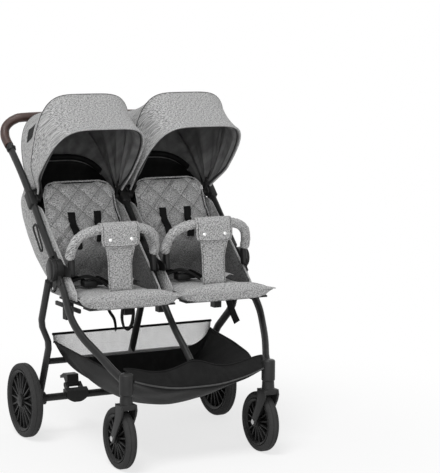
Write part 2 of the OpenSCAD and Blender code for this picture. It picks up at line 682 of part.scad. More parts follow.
module post_pegs(r) for (k = [-1, 1])
    translate([k * (post_in + post_out) / 2, bumper_y + 9, bumper_z + 40]) rotate([22, 0, 0])
        translate([0, 0, -24]) cylinder(h = 42, r = r);

module bumper_posts() color(black) for (x = [-seat_x, seat_x]) translate([x, 0, 0]) difference() {
    union() {
        for (k = [-1, 1]) plate(min(k * post_in, k * post_out), max(k * post_in, k * post_out))
            strap([bumper_y, bumper_z], 11, [bumper_y + 14, bumper_z + 22], 9);
        post_pegs(4.3);
    }
    rod(-bumper_half, bumper_half, bumper_y, bumper_z, bumper_pin_d / 2 + run_gap);
}

module bumper_covers() color(grey) for (x = [-seat_x, seat_x]) translate([x, 0, 0]) difference() {
    tube(bend(both(bumper_path), 4), w = bumper_d, d = bumper_d, sides = 12, side = [0, 1, 0]);
    post_pegs(4.4);
}

flap_line = concat(
    arc([bumper_y - 39, bumper_z + 136], bumper_d / 2 + soft_gap + 0.2, 60, 180, 4),
    [[bumper_y - 57, bumper_z + 122], [bumper_y - 56, bumper_z + 96], [bumper_y - 54, bumper_z + 30],
    [bumper_y - 58, bumper_z - 30], [bumper_y - 60, seat_top + 4]]);

module crotch_flaps() color(grey) for (x = [-seat_x, seat_x]) translate([x, 0, 0])
    sheet([for (i = [0:9]) [for (c = [-3:3])
        let (u = c / 3, half = flap_w / 2 * (1 - 0.36 * smooth((i - 5) / 2)))
        [u * half, flap_line[i].x + 2 * u * u, flap_line[i].y - 1.2 * u * u]]], cloth_t);

// Seats
module seat_boards() color(black) for (x = [-seat_x, seat_x]) translate([x, 0, 0]) difference() {
    low = board_z - board_t;
    union() {
        translate([-seat_w / 2 + 8, leg_axis_y + 9, low])
            cube([seat_w - 16, rod_y - leg_axis_y - lug_r - 12, board_t]);
        for (k = [-104, 98]) plate(k, k + lug_t) union() {
            translate([rod_y, rod_z]) circle(lug_r);
            translate([rod_y - lug_r, low]) square([2 * lug_r, rod_z - low]);
            translate([rod_y - lug_r - 16, low]) square([lug_r + 16, board_t]);
        }
        for (k = [-104, 98]) plate(k, k + lug_t)
            strap([leg_axis_y, leg_axis_z], 6, [leg_axis_y + 16, leg_axis_z], 5);
        rod(-118, 118, leg_axis_y, leg_axis_z, leg_pin_d / 2);
    }
    for (k = [-104, 98]) rod(k - 1, k + lug_t + 1, rod_y, rod_z, rod_d / 2 + run_gap);
}

// Blocks under the seats' hinge lugs
module seat_blocks() color(black) for (x = [-seat_x, seat_x]) for (k = [-104, 98])
    translate([x + k - 10, rod_y - 27, board_z - board_t - 0.1 - block_h]) cube([lug_t + 20, 28, block_h]);

// A crowned cushion lying flat: front and back edges, half width, and bottom and top
module cushion(y0, y1, half, z0, z1, cols, rows, ear) {
    function rim(u, v) = max(pow(abs(u), 6), pow(abs(2 * v - 1), 8));
    function spread(u, v) = u * half * (1 - ear * (1 - pow(abs(2 * v - 1), 2)));
    deep = z1 - z0;
    top = [for (r = [0:rows]) [for (c = [0:cols]) let (u = 2 * c / cols - 1, v = r / rows)
        [spread(u, v), mix(y0, y1, v), z1 - deep * 0.4 * rim(u, v) - 3 * u * u]]];
    bottom = [for (r = [0:rows]) [for (c = [0:cols]) let (u = 2 * c / cols - 1, v = r / rows)
        [spread(u, v), mix(y0, y1, v), z0 + deep * 0.35 * rim(u, v)]]];
    between(top, bottom);
}

module seat_pad(s) color(grey) translate([s * seat_x, 0, 0])
    cushion(leg_axis_y + 2, rod_y - lug_r - 4, seat_w / 2, board_z + soft_gap, seat_top, 14, 14, 0.02);

module legrest_board(s) color(black) translate([s * seat_x, 0, 0]) difference() {
    union() {
        translate([-legrest_w / 2 + 16, leg_axis_y - legrest_reach + 6, board_z - board_t])
            cube([legrest_w - 32, legrest_reach - 15, board_t]);
        for (k = [-116, 110]) plate(k, k + lug_t)
            strap([leg_axis_y, leg_axis_z], 6, [leg_axis_y - 16, leg_axis_z], 5);
    }
    rod(-120, 120, leg_axis_y, leg_axis_z, leg_pin_d / 2 + run_gap);
}

module legrest_pad(s) color(grey) translate([s * seat_x, 0, 0])
    cushion(leg_axis_y - legrest_reach, leg_axis_y - 1, legrest_w / 2,
        board_z + soft_gap, seat_top + legrest_rise, 14, 6, 0.015);

placed() rear_leg(-1);  // rear_leg_left
placed() rear_leg(1);  // rear_leg_right
placed() rear_leg_centre();
placed() rear_axle_beam();
placed() rear_crossbar();
placed() axle_brackets();
placed() pivot_pins();
placed() hub_covers();
placed() brake_housing();
placed() brake_pedal();
placed() basket_tub();
placed() basket_mesh();
placed() rear_tyre(-1);  // rear_tyre_left
placed() rear_tyre(1);  // rear_tyre_right
placed() rear_rim(-1);  // rear_rim_left
placed() rear_rim(1);  // rear_rim_right
placed() front_leg(-1);  // front_leg_left
placed() front_leg(1);  // front_leg_right
placed() front_leg_centre();
placed() front_crossbar();
placed() swivel_housings();
placed() fork(-1);  // fork_left
placed() fork(1);  // fork_right
placed() wheel_bolt(-1);  // wheel_bolt_left
placed() wheel_bolt(1);  // wheel_bolt_right
placed() front_tyre(-1);  // front_tyre_left
placed() front_tyre(1);  // front_tyre_right
placed() front_rim(-1);  // front_rim_left
placed() front_rim(1);  // front_rim_right
placed() push_tube(-1);  // push_tube_left
placed() push_tube(1);  // push_tube_right
placed() push_tube_centre();
placed() handle_grip();
placed() canopy_clips();
placed() seat_hangers();
placed() hinge_rods();
placed() rear_bows();
placed() seat_tub(-1);  // seat_tub_left
placed() seat_tub(1);  // seat_tub_right
placed() mid_bow(-1);  // mid_bow_left
placed() mid_bow(1);  // mid_bow_right
placed() front_bow(-1);  // front_bow_left
placed() front_bow(1);  // front_bow_right
placed() canopy(-1);  // canopy_left
placed() canopy(1);  // canopy_right
placed() back_board(-1);  // back_board_left
placed() back_board(1);  // back_board_right
placed() back_pad(-1);  // back_pad_left
placed() back_pad(1);  // back_pad_right
placed() bumper_posts();
placed() bumper_covers();
placed() crotch_flaps();
placed() seat_boards();
placed() seat_blocks();
placed() seat_pad(-1);  // seat_pad_left
placed() seat_pad(1);  // seat_pad_right
placed() legrest_board(-1);  // legrest_board_left
placed() legrest_board(1);  // legrest_board_right
placed() legrest_pad(-1);  // legrest_pad_left
placed() legrest_pad(1);  // legrest_pad_right
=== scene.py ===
# %% [markdown]
# # Dressing a side by side double stroller
#
# The CAD part stands in the scene as a fixed frame: tubes, hubs and plain solids for everything soft.
# This lesson keeps the rigid parts, gives them real finishes, and sews the canopies, pads, harness and
# basket over the soft solids. All sizes are written in millimetres, as in the part's own drawing, and
# turned into metres where a point is placed.

# %% Load the frame
import json
import math

import bmesh
import bpy
from mathutils import Matrix, Vector
from mathutils.bvhtree import BVHTree


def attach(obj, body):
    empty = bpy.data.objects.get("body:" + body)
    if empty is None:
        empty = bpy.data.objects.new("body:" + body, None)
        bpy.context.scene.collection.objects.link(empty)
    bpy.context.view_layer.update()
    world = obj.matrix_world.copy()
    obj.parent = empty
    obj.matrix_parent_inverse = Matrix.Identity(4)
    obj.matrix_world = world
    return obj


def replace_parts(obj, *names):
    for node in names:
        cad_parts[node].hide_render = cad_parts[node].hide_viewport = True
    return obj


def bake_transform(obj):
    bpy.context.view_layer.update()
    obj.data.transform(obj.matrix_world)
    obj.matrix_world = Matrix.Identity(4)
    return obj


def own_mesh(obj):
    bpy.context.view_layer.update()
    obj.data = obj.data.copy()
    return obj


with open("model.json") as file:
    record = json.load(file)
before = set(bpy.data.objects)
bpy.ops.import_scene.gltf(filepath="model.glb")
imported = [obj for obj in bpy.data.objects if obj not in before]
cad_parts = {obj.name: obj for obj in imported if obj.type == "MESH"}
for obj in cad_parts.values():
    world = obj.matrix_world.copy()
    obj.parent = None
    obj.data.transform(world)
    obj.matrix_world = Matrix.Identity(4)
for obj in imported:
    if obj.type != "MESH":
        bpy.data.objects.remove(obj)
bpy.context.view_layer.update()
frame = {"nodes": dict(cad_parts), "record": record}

# %% [markdown]
# ## Where things are
#
# The drawing measures Y from its own zero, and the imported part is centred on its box. One helper moves a
# point of the drawing into the scene. The few axes that everything hangs on are named here once.

# %% Places from the drawing, in millimetres
MM = 0.001
MIDDLE_Y = 77.455
SEAT_X = 162
HUB = (38, 570)
ROD = (98, 501)
CLIP = (237.71, 766.25)
BUMPER = (-32, 566)
LEG_AXIS = (-116, 473.4)
FRAME_X = 320
SIDES = {"left": -1, "right": 1}


def spot(x, y, z):
    """A point of the drawing, in the scene's metres."""
    return Vector((x, y - MIDDLE_Y, z)) * MM


def lookup(t, table):
    """The value at t on straight lines through a table of (t, value)."""
    if t <= table[0][0]:
        return table[0][1]
    for (a, p), (b, q) in zip(table, table[1:]):
        if t <= b:
            return p + (q - p) * (t - a) / (b - a)
    return table[-1][1]


def smooth(t):
    k = max(0, min(1, t))
    return k * k * (3 - 2 * k)


def curve_through(points, steps):
    """A smooth line through the points, with that many steps between two of them."""
    line = []
    last = len(points) - 1
    for i in range(last):
        a, b, c, d = (Vector(points[max(0, min(last, i + k))]) for k in (-1, 0, 1, 2))
        for j in range(steps):
            t = j / steps
            line.append(0.5 * (2 * b + (c - a) * t + (2 * a - 5 * b + 4 * c - d) * t**2
                               + (3 * b - a - 3 * c + d) * t**3))
    line.append(Vector(points[-1]))
    return line


# %% [markdown]
# ## Camera and studio
#
# The photograph was taken from a little left of the front, about a metre and a third up, with a long
# lens. The frame is cropped off centre, which a lens shift repeats without turning the camera. The
# floor and the background are white to the eye of the camera and in reflections, while the floor still
# takes the soft shadow under the wheels. Further out it fades into the background.

# %% Camera
PHOTO_W, PHOTO_H = 440, 473
FOCAL_PX = 1640.4
SIGHT_PX = (142, 280)
SENSOR = 36
target = spot(-47.36, 0, 523.85)
eye = spot(-2273.8, -4568.9, 1303.4)

camera_data = bpy.data.cameras.new("camera")
camera_data.sensor_width = SENSOR
camera_data.lens = FOCAL_PX * SENSOR / PHOTO_H
camera_data.shift_x = (PHOTO_W / 2 - SIGHT_PX[0]) / PHOTO_H
camera_data.shift_y = (SIGHT_PX[1] - PHOTO_H / 2) / PHOTO_H
camera_data.clip_end = 60
camera = bpy.data.objects.new("camera", camera_data)
bpy.context.collection.objects.link(camera)
camera.location = eye
camera.rotation_euler = (target - eye).to_track_quat("-Z", "Y").to_euler()
bpy.context.scene.camera = camera
bpy.context.scene.view_settings.view_transform = "Standard"
print("camera lens", round(camera_data.lens, 1))


# %% Studio
def add_node(tree, kind, inputs=None, **settings):
    """A node with its settings, its inputs given as values or as sockets to link."""
    made = tree.nodes.new(kind)
    for name, value in settings.items():
        setattr(made, name, value)
    for name, value in (inputs or {}).items():
        if isinstance(value, bpy.types.NodeSocket):
            tree.links.new(value, made.inputs[name])
        else:
            made.inputs[name].default_value = value
    return made


def calc(tree, operation, a, b=0.0, c=0.0):
    """The result of one sum on sockets or numbers."""
    return add_node(tree, "ShaderNodeMath", {0: a, 1: b, 2: c}, operation=operation).outputs[0]


def eased(tree, value, start, end, low, high=1.0):
    """A value that goes smoothly from low to high between two limits."""
    return add_node(tree, "ShaderNodeMapRange", {
        "Value": value, "From Min": start, "From Max": end, "To Min": low, "To Max": high},
        interpolation_type="SMOOTHSTEP").outputs[0]


def object_place(tree):
    return add_node(tree, "ShaderNodeTexCoord").outputs["Object"]


def seen_directly(tree):
    """1 where the camera, a reflection or a see-through part looks straight at the surface."""
    path = add_node(tree, "ShaderNodeLightPath").outputs
    mirrored = calc(tree, "MAXIMUM", path["Is Glossy Ray"], path["Is Transmission Ray"])
    return calc(tree, "MAXIMUM", path["Is Camera Ray"], mirrored)


WORLD_LIGHT = 0.36
world = bpy.data.worlds.new("studio")
world.use_nodes = True
tree = world.node_tree
tree.nodes.clear()
light = add_node(tree, "ShaderNodeBackground", {"Color": (1, 1, 1, 1), "Strength": WORLD_LIGHT})
seen = add_node(tree, "ShaderNodeBackground", {"Color": (1, 1, 1, 1), "Strength": 1.0})
mixed = add_node(tree, "ShaderNodeMixShader", {
    0: seen_directly(tree), 1: light.outputs[0], 2: seen.outputs[0]})
add_node(tree, "ShaderNodeOutputWorld", {"Surface": mixed.outputs[0]})
bpy.context.scene.world = world

FLOOR_GLOW = 0.72
FLOOR_FADE = (0.5, 1.6)
FLOOR_SIZE = 40
floor_paint = bpy.data.materials.new("floor")
floor_paint.use_nodes = True
tree = floor_paint.node_tree
tree.nodes.clear()
matt = add_node(tree, "ShaderNodeBsdfDiffuse", {"Color": (0.9, 0.9, 0.9, 1)})
glow = add_node(tree, "ShaderNodeEmission", {"Color": (1, 1, 1, 1), "Strength": 1.0})
away = add_node(tree, "ShaderNodeVectorMath", {0: object_place(tree)}, operation="LENGTH").outputs["Value"]
share = calc(tree, "MULTIPLY", seen_directly(tree), eased(tree, away, *FLOOR_FADE, FLOOR_GLOW))
mixed = add_node(tree, "ShaderNodeMixShader", {0: share, 1: matt.outputs[0], 2: glow.outputs[0]})
add_node(tree, "ShaderNodeOutputMaterial", {"Surface": mixed.outputs[0]})

bm = bmesh.new()
bmesh.ops.create_grid(bm, x_segments=1, y_segments=1, size=FLOOR_SIZE)
floor_mesh = bpy.data.meshes.new("floor")
bm.to_mesh(floor_mesh)
bm.free()
floor_mesh.materials.append(floor_paint)
floor = bpy.data.objects.new("floor", floor_mesh)
bpy.context.collection.objects.link(floor)

for name, strength, spread, aim in (
    ("key", 1.7, 26, (0.5, 0.34, -1.2)),
    ("fill", 1.25, 60, (0.4, 0.9, -0.25)),
):
    sun = bpy.data.lights.new(name, "SUN")
    sun.energy = strength
    sun.angle = math.radians(spread)
    lamp = bpy.data.objects.new(name, sun)
    bpy.context.collection.objects.link(lamp)
    lamp.rotation_euler = Vector(aim).to_track_quat("-Z", "Y").to_euler()
print("studio ready")


# %% [markdown]
# ## Finishes
#
# Every finish is made of nodes on Object coordinates, so it stays put when a piece moves. Cloth needs two
# directions across any face, so both are sums that never vanish on a face square to X, Y or Z: the
# threads then run over the pads, canopies and panels alike.

# %% Material helpers
def new_finish(name, **sockets):
    """A Principled material; sockets are given by their names with _ for spaces."""
    finish = bpy.data.materials.new(name)
    finish.use_nodes = True
    shader = finish.node_tree.nodes["Principled BSDF"]
    for socket, value in sockets.items():
        shader.inputs[socket.replace("_", " ")].default_value = value
    return finish, finish.node_tree, shader


def thread_lines(tree):
    """Two cloth directions, in metres: across and along the threads."""
    x, y, z = add_node(tree, "ShaderNodeSeparateXYZ", {0: object_place(tree)}).outputs
    return calc(tree, "MULTIPLY_ADD", y, 0.5, x), calc(tree, "MULTIPLY_ADD", y, 0.8, z)


def streaks(tree, across, along, width, length, detail=2.0):
    """Noise drawn out along one thread direction."""
    vector = add_node(tree, "ShaderNodeCombineXYZ", {
        0: calc(tree, "MULTIPLY", across, 1 / width), 1: calc(tree, "MULTIPLY", along, 1 / length)})
    return add_node(tree, "ShaderNodeTexNoise", {"Vector": vector.outputs[0], "Scale": 1.0, "Detail": detail},
                    noise_dimensions="2D").outputs[0]


def ramp(tree, factor, *stops):
    """A colour ramp through (place, colour) stops."""
    made = add_node(tree, "ShaderNodeValToRGB", {0: factor})
    points = made.color_ramp.elements
    while len(points) < len(stops):
        points.new(0.5)
    for point, (place, colour) in zip(points, stops):
        point.position = place
        point.color = (*colour, 1)
    return made.outputs[0]


def grey(value):
    return (value, value, value)


def raised(tree, shader, height, strength, distance):
    bump = add_node(tree, "ShaderNodeBump", {"Height": height, "Strength": strength, "Distance": distance})
    tree.links.new(bump.outputs[0], shader.inputs["Normal"])


def woven(tree, across, along, pitch):
    """The height of a plain weave."""
    over = calc(tree, "SINE", calc(tree, "MULTIPLY", across, math.tau / pitch))
    under = calc(tree, "SINE", calc(tree, "MULTIPLY", along, math.tau / pitch))
    return calc(tree, "MULTIPLY", over, under)


# %% Cloth finishes
def melange(name, dark, light, fade=None):
    """Grey cloth spun from dark and light fibres, with slubs along both threads. A fade darkens the colour as
    painted shade: it gives two heights in metres and the share of the colour left at the lower one."""
    finish, tree, shader = new_finish(name, Roughness=0.88, Sheen_Weight=0.18, Sheen_Roughness=0.5,
                                      Specular_IOR_Level=0.2)
    across, along = thread_lines(tree)
    warp = streaks(tree, across, along, 0.0015, 0.008)
    weft = streaks(tree, across, along, 0.008, 0.0015)
    cloud = streaks(tree, across, along, 0.0034, 0.0034, 3.0)
    threads = calc(tree, "ADD", warp, weft)
    tone = calc(tree, "MULTIPLY_ADD", cloud, 0.8, calc(tree, "MULTIPLY", threads, 0.6))
    middle = grey((dark[1] + light[1]) / 2)
    colour = ramp(tree, calc(tree, "SUBTRACT", tone, 0.5), (0.34, dark), (0.5, middle), (0.66, light))
    # Painted shade: below the upper height the colour is scaled down, to the given share at the lower one.
    if fade:
        level = add_node(tree, "ShaderNodeSeparateXYZ", {0: object_place(tree)}).outputs["Z"]
        colour = add_node(tree, "ShaderNodeVectorMath", {0: colour, "Scale": eased(tree, level, *fade)},
                          operation="SCALE").outputs[0]
    tree.links.new(colour, shader.inputs["Base Color"])
    height = calc(tree, "MULTIPLY_ADD", threads, 0.8, woven(tree, across, along, 0.0018))
    raised(tree, shader, height, 0.35, 0.0005)
    return finish


def nylon(name, dark, light, rough=0.62, shine=0.2):
    """Thin dark cloth with a fine even weave and a low sheen."""
    finish, tree, shader = new_finish(name, Roughness=rough, Sheen_Weight=0.25 * shine, Sheen_Roughness=0.4,
                                      Specular_IOR_Level=shine)
    across, along = thread_lines(tree)
    cloud = streaks(tree, across, along, 0.02, 0.035, 3.0)
    tree.links.new(ramp(tree, cloud, (0.3, dark), (0.7, light)), shader.inputs["Base Color"])
    raised(tree, shader, woven(tree, across, along, 0.0011), 0.25, 0.0003)
    return finish


grey_cloth = melange("grey_cloth", grey(0.14), grey(0.57))
# Painted shade: the back cloth darkens below 0.70 m, to 0.16 of its colour at 0.55 m, for the shade on the
# lower backs.
back_cloth_painted_shade = melange("back_cloth_painted_shade", grey(0.16), grey(0.62), (0.55, 0.70, 0.16))
# Near-black cloth used as painted shade inside the seat sides and in the crease between seat and back.
painted_shade_cloth = melange("painted_shade_cloth", grey(0.03), grey(0.12))
binding_cloth = melange("binding_cloth", grey(0.28), grey(0.5))
piping_cloth = nylon("piping_cloth", grey(0.05), grey(0.075))
stitch_cloth = nylon("stitch_cloth", grey(0.11), grey(0.15))
lining_cloth = nylon("lining_cloth", grey(0.1), grey(0.16), 0.8)
basket_cloth = nylon("basket_cloth", grey(0.006), grey(0.01), 0.6, 0.1)
net_cloth = nylon("net_cloth", grey(0.4), grey(0.5), 0.8)
webbing = nylon("webbing", grey(0.005), grey(0.009), 0.65, 0.08)
print("cloth finishes", len(bpy.data.materials))


# %% [markdown]
# The hard parts are powder coated tube, moulded plastic, rubber, plain steel and a stitched brown grip.
# None is a flat colour: the coat has a faint orange peel, plastic a spark-eroded grain, and rubber is
# duller where it scuffs.

# %% Hard finishes
def grained(name, dark, light, grain, strength, rough, metallic=0.0, shine=0.25):
    """A solid finish with a fine grain and patches that differ a little in tone and gloss."""
    finish, tree, shader = new_finish(name, Metallic=metallic, Specular_IOR_Level=shine)
    place = object_place(tree)
    patches = add_node(tree, "ShaderNodeTexNoise", {"Vector": place, "Scale": 28.0, "Detail": 4.0}).outputs[0]
    tree.links.new(ramp(tree, patches, (0.3, dark), (0.7, light)), shader.inputs["Base Color"])
    gloss = add_node(tree, "ShaderNodeMapRange", {
        "Value": patches, "From Min": 0.3, "From Max": 0.7, "To Min": rough - 0.05, "To Max": rough + 0.07})
    tree.links.new(gloss.outputs[0], shader.inputs["Roughness"])
    fine = add_node(tree, "ShaderNodeTexNoise", {"Vector": place, "Scale": grain, "Detail": 2.0}).outputs[0]
    raised(tree, shader, fine, strength, 0.0003)
    return finish


def hide(name, dark, light):
    """Brown leatherette with a pebbled grain."""
    finish, tree, shader = new_finish(name, Specular_IOR_Level=0.45)
    place = object_place(tree)
    pebbles = add_node(tree, "ShaderNodeTexVoronoi", {"Vector": place, "Scale": 620.0}).outputs["Distance"]
    patches = add_node(tree, "ShaderNodeTexNoise", {"Vector": place, "Scale": 34.0, "Detail": 5.0}).outputs[0]
    tree.links.new(ramp(tree, patches, (0.25, dark), (0.75, light)), shader.inputs["Base Color"])
    gloss = add_node(tree, "ShaderNodeMapRange", {"Value": patches, "To Min": 0.36, "To Max": 0.56})
    tree.links.new(gloss.outputs[0], shader.inputs["Roughness"])
    raised(tree, shader, pebbles, 0.3, 0.0006)
    return finish


frame_coat = grained("frame_coat", grey(0.016), grey(0.024), 900.0, 0.12, 0.38, shine=0.2)
black_moulded = grained("black_moulded", grey(0.008), grey(0.013), 1500.0, 0.2, 0.5)
wheel_moulded = grained("wheel_moulded", grey(0.006), grey(0.01), 1300.0, 0.2, 0.45)
tyre_rubber = grained("tyre_rubber", grey(0.03), grey(0.04), 700.0, 0.25, 0.75, shine=0.15)
plain_steel = grained("plain_steel", grey(0.5), grey(0.62), 500.0, 0.06, 0.28, 1.0, 0.5)
bright_snap = grained("bright_snap", grey(0.75), grey(0.85), 500.0, 0.04, 0.22, 1.0, 0.5)
grip_hide = hide("grip_hide", (0.03, 0.014, 0.011), (0.062, 0.03, 0.023))
label_cloth = nylon("label_cloth", grey(0.72), grey(0.8), 0.7)
print("finishes", len(bpy.data.materials))

# %% [markdown]
# ## The CAD parts that stay
#
# The tubes, bars, hubs and boards already have the right shape. Their meshes are loose triangles, so a
# weld joins them and a small node group smooths every edge that is not a real corner. The meshes
# themselves stay as they came.

# %% Smooth shading for CAD parts
CORNER = math.radians(32)
smoother = bpy.data.node_groups.new("smooth_by_angle", "GeometryNodeTree")
smoother.interface.new_socket("Geometry", in_out="INPUT", socket_type="NodeSocketGeometry")
smoother.interface.new_socket("Geometry", in_out="OUTPUT", socket_type="NodeSocketGeometry")
entry = add_node(smoother, "NodeGroupInput")
angle = add_node(smoother, "GeometryNodeInputMeshEdgeAngle")
corner = add_node(smoother, "FunctionNodeCompare", {0: angle.outputs[0], 1: CORNER}, data_type="FLOAT",
                  operation="GREATER_THAN")
plain = add_node(smoother, "GeometryNodeRemoveAttribute", {
    "Geometry": entry.outputs[0], "Name": "custom_normal"})
rounded = add_node(smoother, "GeometryNodeSetShadeSmooth", {0: plain.outputs[0], 2: True}, domain="FACE")
cornered = add_node(smoother, "GeometryNodeSetShadeSmooth", {
    0: rounded.outputs[0], 1: corner.outputs[0], 2: False}, domain="EDGE")
add_node(smoother, "NodeGroupOutput", {0: cornered.outputs[0]})

WELD_DISTANCE = 0.00002
FINISH_OF_SLOT = {
    "frame_tube": frame_coat, "black_plastic": black_moulded, "wheel_plastic": wheel_moulded,
    "tyre": tyre_rubber, "steel": plain_steel, "grip_leather": grip_hide, "grey_fabric": grey_cloth,
    "black_fabric": basket_cloth, "mesh": label_cloth}
slot_of = {part["node"]: part["material_slot"] for part in frame["record"]["subparts"]}
for name, node in frame["nodes"].items():
    node.data.materials.clear()
    node.data.materials.append(FINISH_OF_SLOT[slot_of[name]])
    weld = node.modifiers.new("weld", "WELD")
    weld.merge_threshold = WELD_DISTANCE
    node.modifiers.new("smooth", "NODES").node_group = smoother
frame["nodes"]["swivel_housings"].data.materials[0] = frame_coat
print("CAD parts finished", len(frame["nodes"]))

# %% [markdown]
# ## Helpers for new pieces
#
# A rigid piece starts as a few points or a primitive in a bmesh. A sheet of cloth starts as a flat grid
# whose corner-to-corner coordinates, from 0 to 1, are put in place by a function, so its threads and rows
# stay even. Cords and piping are lines with a round section.

# %% Piece helpers
def mix(a, b, t):
    return a + (b - a) * t


def finished(name, bm, finish, slot, body=None, corner=38):
    """Turns a bmesh into a named piece, smooth apart from its real corners."""
    mesh = bpy.data.meshes.new(name)
    bm.to_mesh(mesh)
    bm.free()
    mesh.shade_smooth()
    mesh.set_sharp_from_angle(angle=math.radians(corner))
    mesh.materials.append(finish)
    piece = bpy.data.objects.new(name, mesh)
    bpy.context.collection.objects.link(piece)
    if body:
        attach(piece, body)
    return piece


def grid_sheet(columns, rows, place, flip=False):
    """A grid put in place by a function of u and v."""
    bm = bmesh.new()
    bmesh.ops.create_grid(bm, x_segments=columns, y_segments=rows, size=0.5)
    for vert in bm.verts:
        vert.co = place(vert.co.x + 0.5, vert.co.y + 0.5)
    if flip:
        bmesh.ops.reverse_faces(bm, faces=bm.faces)
    return bm


def thick(piece, millimetres, offset=-1.0):
    wall = piece.modifiers.new("thickness", "SOLIDIFY")
    wall.thickness = millimetres * MM
    wall.offset = offset


def cloth_area(piece):
    return sum(face.area for face in piece.data.polygons)


def declare_sheet(piece, width):
    """Works out the area of a piece of cloth, and does nothing more with it. The width is not used."""
    area = cloth_area(piece)


def corded(name, line, radius, finish, slot, body=None):
    """A round cord along a line of points."""
    curve = bpy.data.curves.new(name, "CURVE")
    curve.dimensions = "3D"
    curve.bevel_depth = radius * MM
    curve.bevel_resolution = 2
    curve.use_fill_caps = True
    spline = curve.splines.new("POLY")
    spline.points.add(len(line) - 1)
    for point, place in zip(spline.points, line):
        point.co = (*place, 1)
    bm = bmesh.new()
    holder = bpy.data.objects.new(name, curve)
    bm.from_mesh(holder.to_mesh())
    bpy.data.objects.remove(holder)
    bpy.data.curves.remove(curve)
    return finished(name, bm, finish, slot, body, 60)


def rounded_off(bm, edges, millimetres, segments=3):
    return bmesh.ops.bevel(bm, geom=edges, offset=millimetres * MM, segments=segments, profile=0.5,
                           affect="EDGES", material=-1)


def along(line, v):
    """The place at a share of the way along a line of points."""
    at = v * (len(line) - 1)
    i = min(int(at), len(line) - 2)
    return line[i].lerp(line[i + 1], at - i)


# %% [markdown]
# ## Wheels
#
# Each wheel is a foam tyre on a moulded rim with thin radial spokes. A profile drawn once and spun about
# the axle gives the tyre, the rim's channel, the hub and a closed web in the middle, and tapered spokes are
# set round it. The web keeps the gaps between the spokes dark.

# %% Wheel helpers
TYRE_DEPTH = 20
RIM_STEPS, HUB_STEPS = 96, 48
SPOKE_DEEP, SPOKE_BROAD = (27, 22), (6.5, 4)


def arc(centre, radius, start, end, steps):
    """Points on a circle, from one angle to another in degrees."""
    turns = [math.radians(mix(start, end, i / steps)) for i in range(steps + 1)]
    return [(centre[0] + radius * math.cos(a), centre[1] + radius * math.sin(a)) for a in turns]


def spin_ring(bm, outline, centre, steps):
    """Spins a closed outline of (along the axle, from the axle) about a wheel's axle."""
    loop = [bm.verts.new(centre + Vector((a, 0, r)) * MM) for a, r in outline]
    edges = [bm.edges.new((p, q)) for p, q in zip(loop, loop[1:] + loop[:1])]
    bmesh.ops.spin(bm, geom=loop + edges, cent=centre, axis=(1, 0, 0), angle=math.tau, steps=steps,
                   use_merge=True)
    bmesh.ops.remove_doubles(bm, verts=bm.verts, dist=0.00001)
    bmesh.ops.recalc_face_normals(bm, faces=bm.faces)


def tyre_outline(radius, width):
    """A round-shouldered tyre with two shallow grooves round its tread."""
    inner = radius - TYRE_DEPTH
    half = width / 2
    groove = [(-7.5, radius), (-7, radius - 1.3), (-6, radius - 1.3), (-5.5, radius)]
    return ([(-half + 5, inner), (-half + 1.2, inner + 3.5), (-half, inner + 9)]
            + arc((-half + 11, radius - 11), 11, 172, 96, 7) + groove + [(-a, r) for a, r in reversed(groove)]
            + arc((half - 11, radius - 11), 11, 84, 8, 7)
            + [(half, inner + 9), (half - 1.2, inner + 3.5), (half - 5, inner)])


def spoke(bm, centre, start, end, turn):
    """One thin tapered spoke, deep from face to back, with rounded edges."""
    made = bmesh.ops.create_cube(bm, size=1)["verts"]
    for vert in made:
        out = vert.co.z + 0.5
        deep, broad = vert.co.x * mix(*SPOKE_DEEP, out), vert.co.y * mix(*SPOKE_BROAD, out)
        vert.co = Vector((deep, broad, mix(start, end, out))) * MM
    rounded = rounded_off(bm, list({edge for vert in made for edge in vert.link_edges}), 1.4, 2)
    kept = {vert for vert in made if vert.is_valid}
    shaped = list({vert for face in rounded["faces"] for vert in face.verts} | kept)
    bmesh.ops.rotate(bm, verts=shaped, cent=(0, 0, 0), matrix=Matrix.Rotation(turn, 3, "X"))
    bmesh.ops.translate(bm, verts=shaped, vec=centre)


def wheel(name, body, centre, radius, width, spokes, side, nodes):
    """A tyre, a spoked rim and its cap about one axle."""
    bm = bmesh.new()
    spin_ring(bm, tyre_outline(radius, width), centre, RIM_STEPS)
    tyre = finished(f"{name}_tyre", bm, tyre_rubber, "tyre", body)
    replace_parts(tyre, nodes[0])
    outer = radius - TYRE_DEPTH
    half = width / 2
    hub = radius * 0.17
    bm = bmesh.new()
    lip = [(half - 5, outer), (half - 2.4, outer - 1), (half - 1.6, outer - 3), (half - 3, outer - 6),
           (half - 8, outer - 10)]
    spin_ring(bm, [(-a, r) for a, r in lip] + lip[::-1], centre, RIM_STEPS)
    spin_ring(bm, [(-1, hub - 2), (-1, outer - 8), (1, outer - 8), (1, hub - 2)], centre, 64)
    for i in range(spokes):
        spoke(bm, centre, hub - 3, outer - 7, math.tau * (i + 0.5) / spokes)
    spin_ring(bm, [(-half - 2, 6), (-half - 2, hub - 3), (-half, hub), (half - 3, hub), (half, hub - 3),
                   (half, 6)], centre, HUB_STEPS)
    rim = finished(f"{name}_rim", bm, wheel_moulded, "wheel_plastic", body, 30)
    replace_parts(rim, nodes[1])
    bm = bmesh.new()
    face = side * (half + 0.2)
    crown = [(face + side * 3.4 * math.cos(math.radians(a)), (hub - 4) * math.sin(math.radians(a)))
             for a in (8, 30, 50, 66, 78, 88)]
    cap = [(face, 0.2)] + crown + [(face - side * 2, hub - 4), (face - side * 2, 0.2)]
    spin_ring(bm, cap, centre, HUB_STEPS)
    finished(f"{name}_cap", bm, black_moulded, "wheel_plastic", body, 50)


# %% Four wheels
FRONT_AXLE = (242, -248, 94)
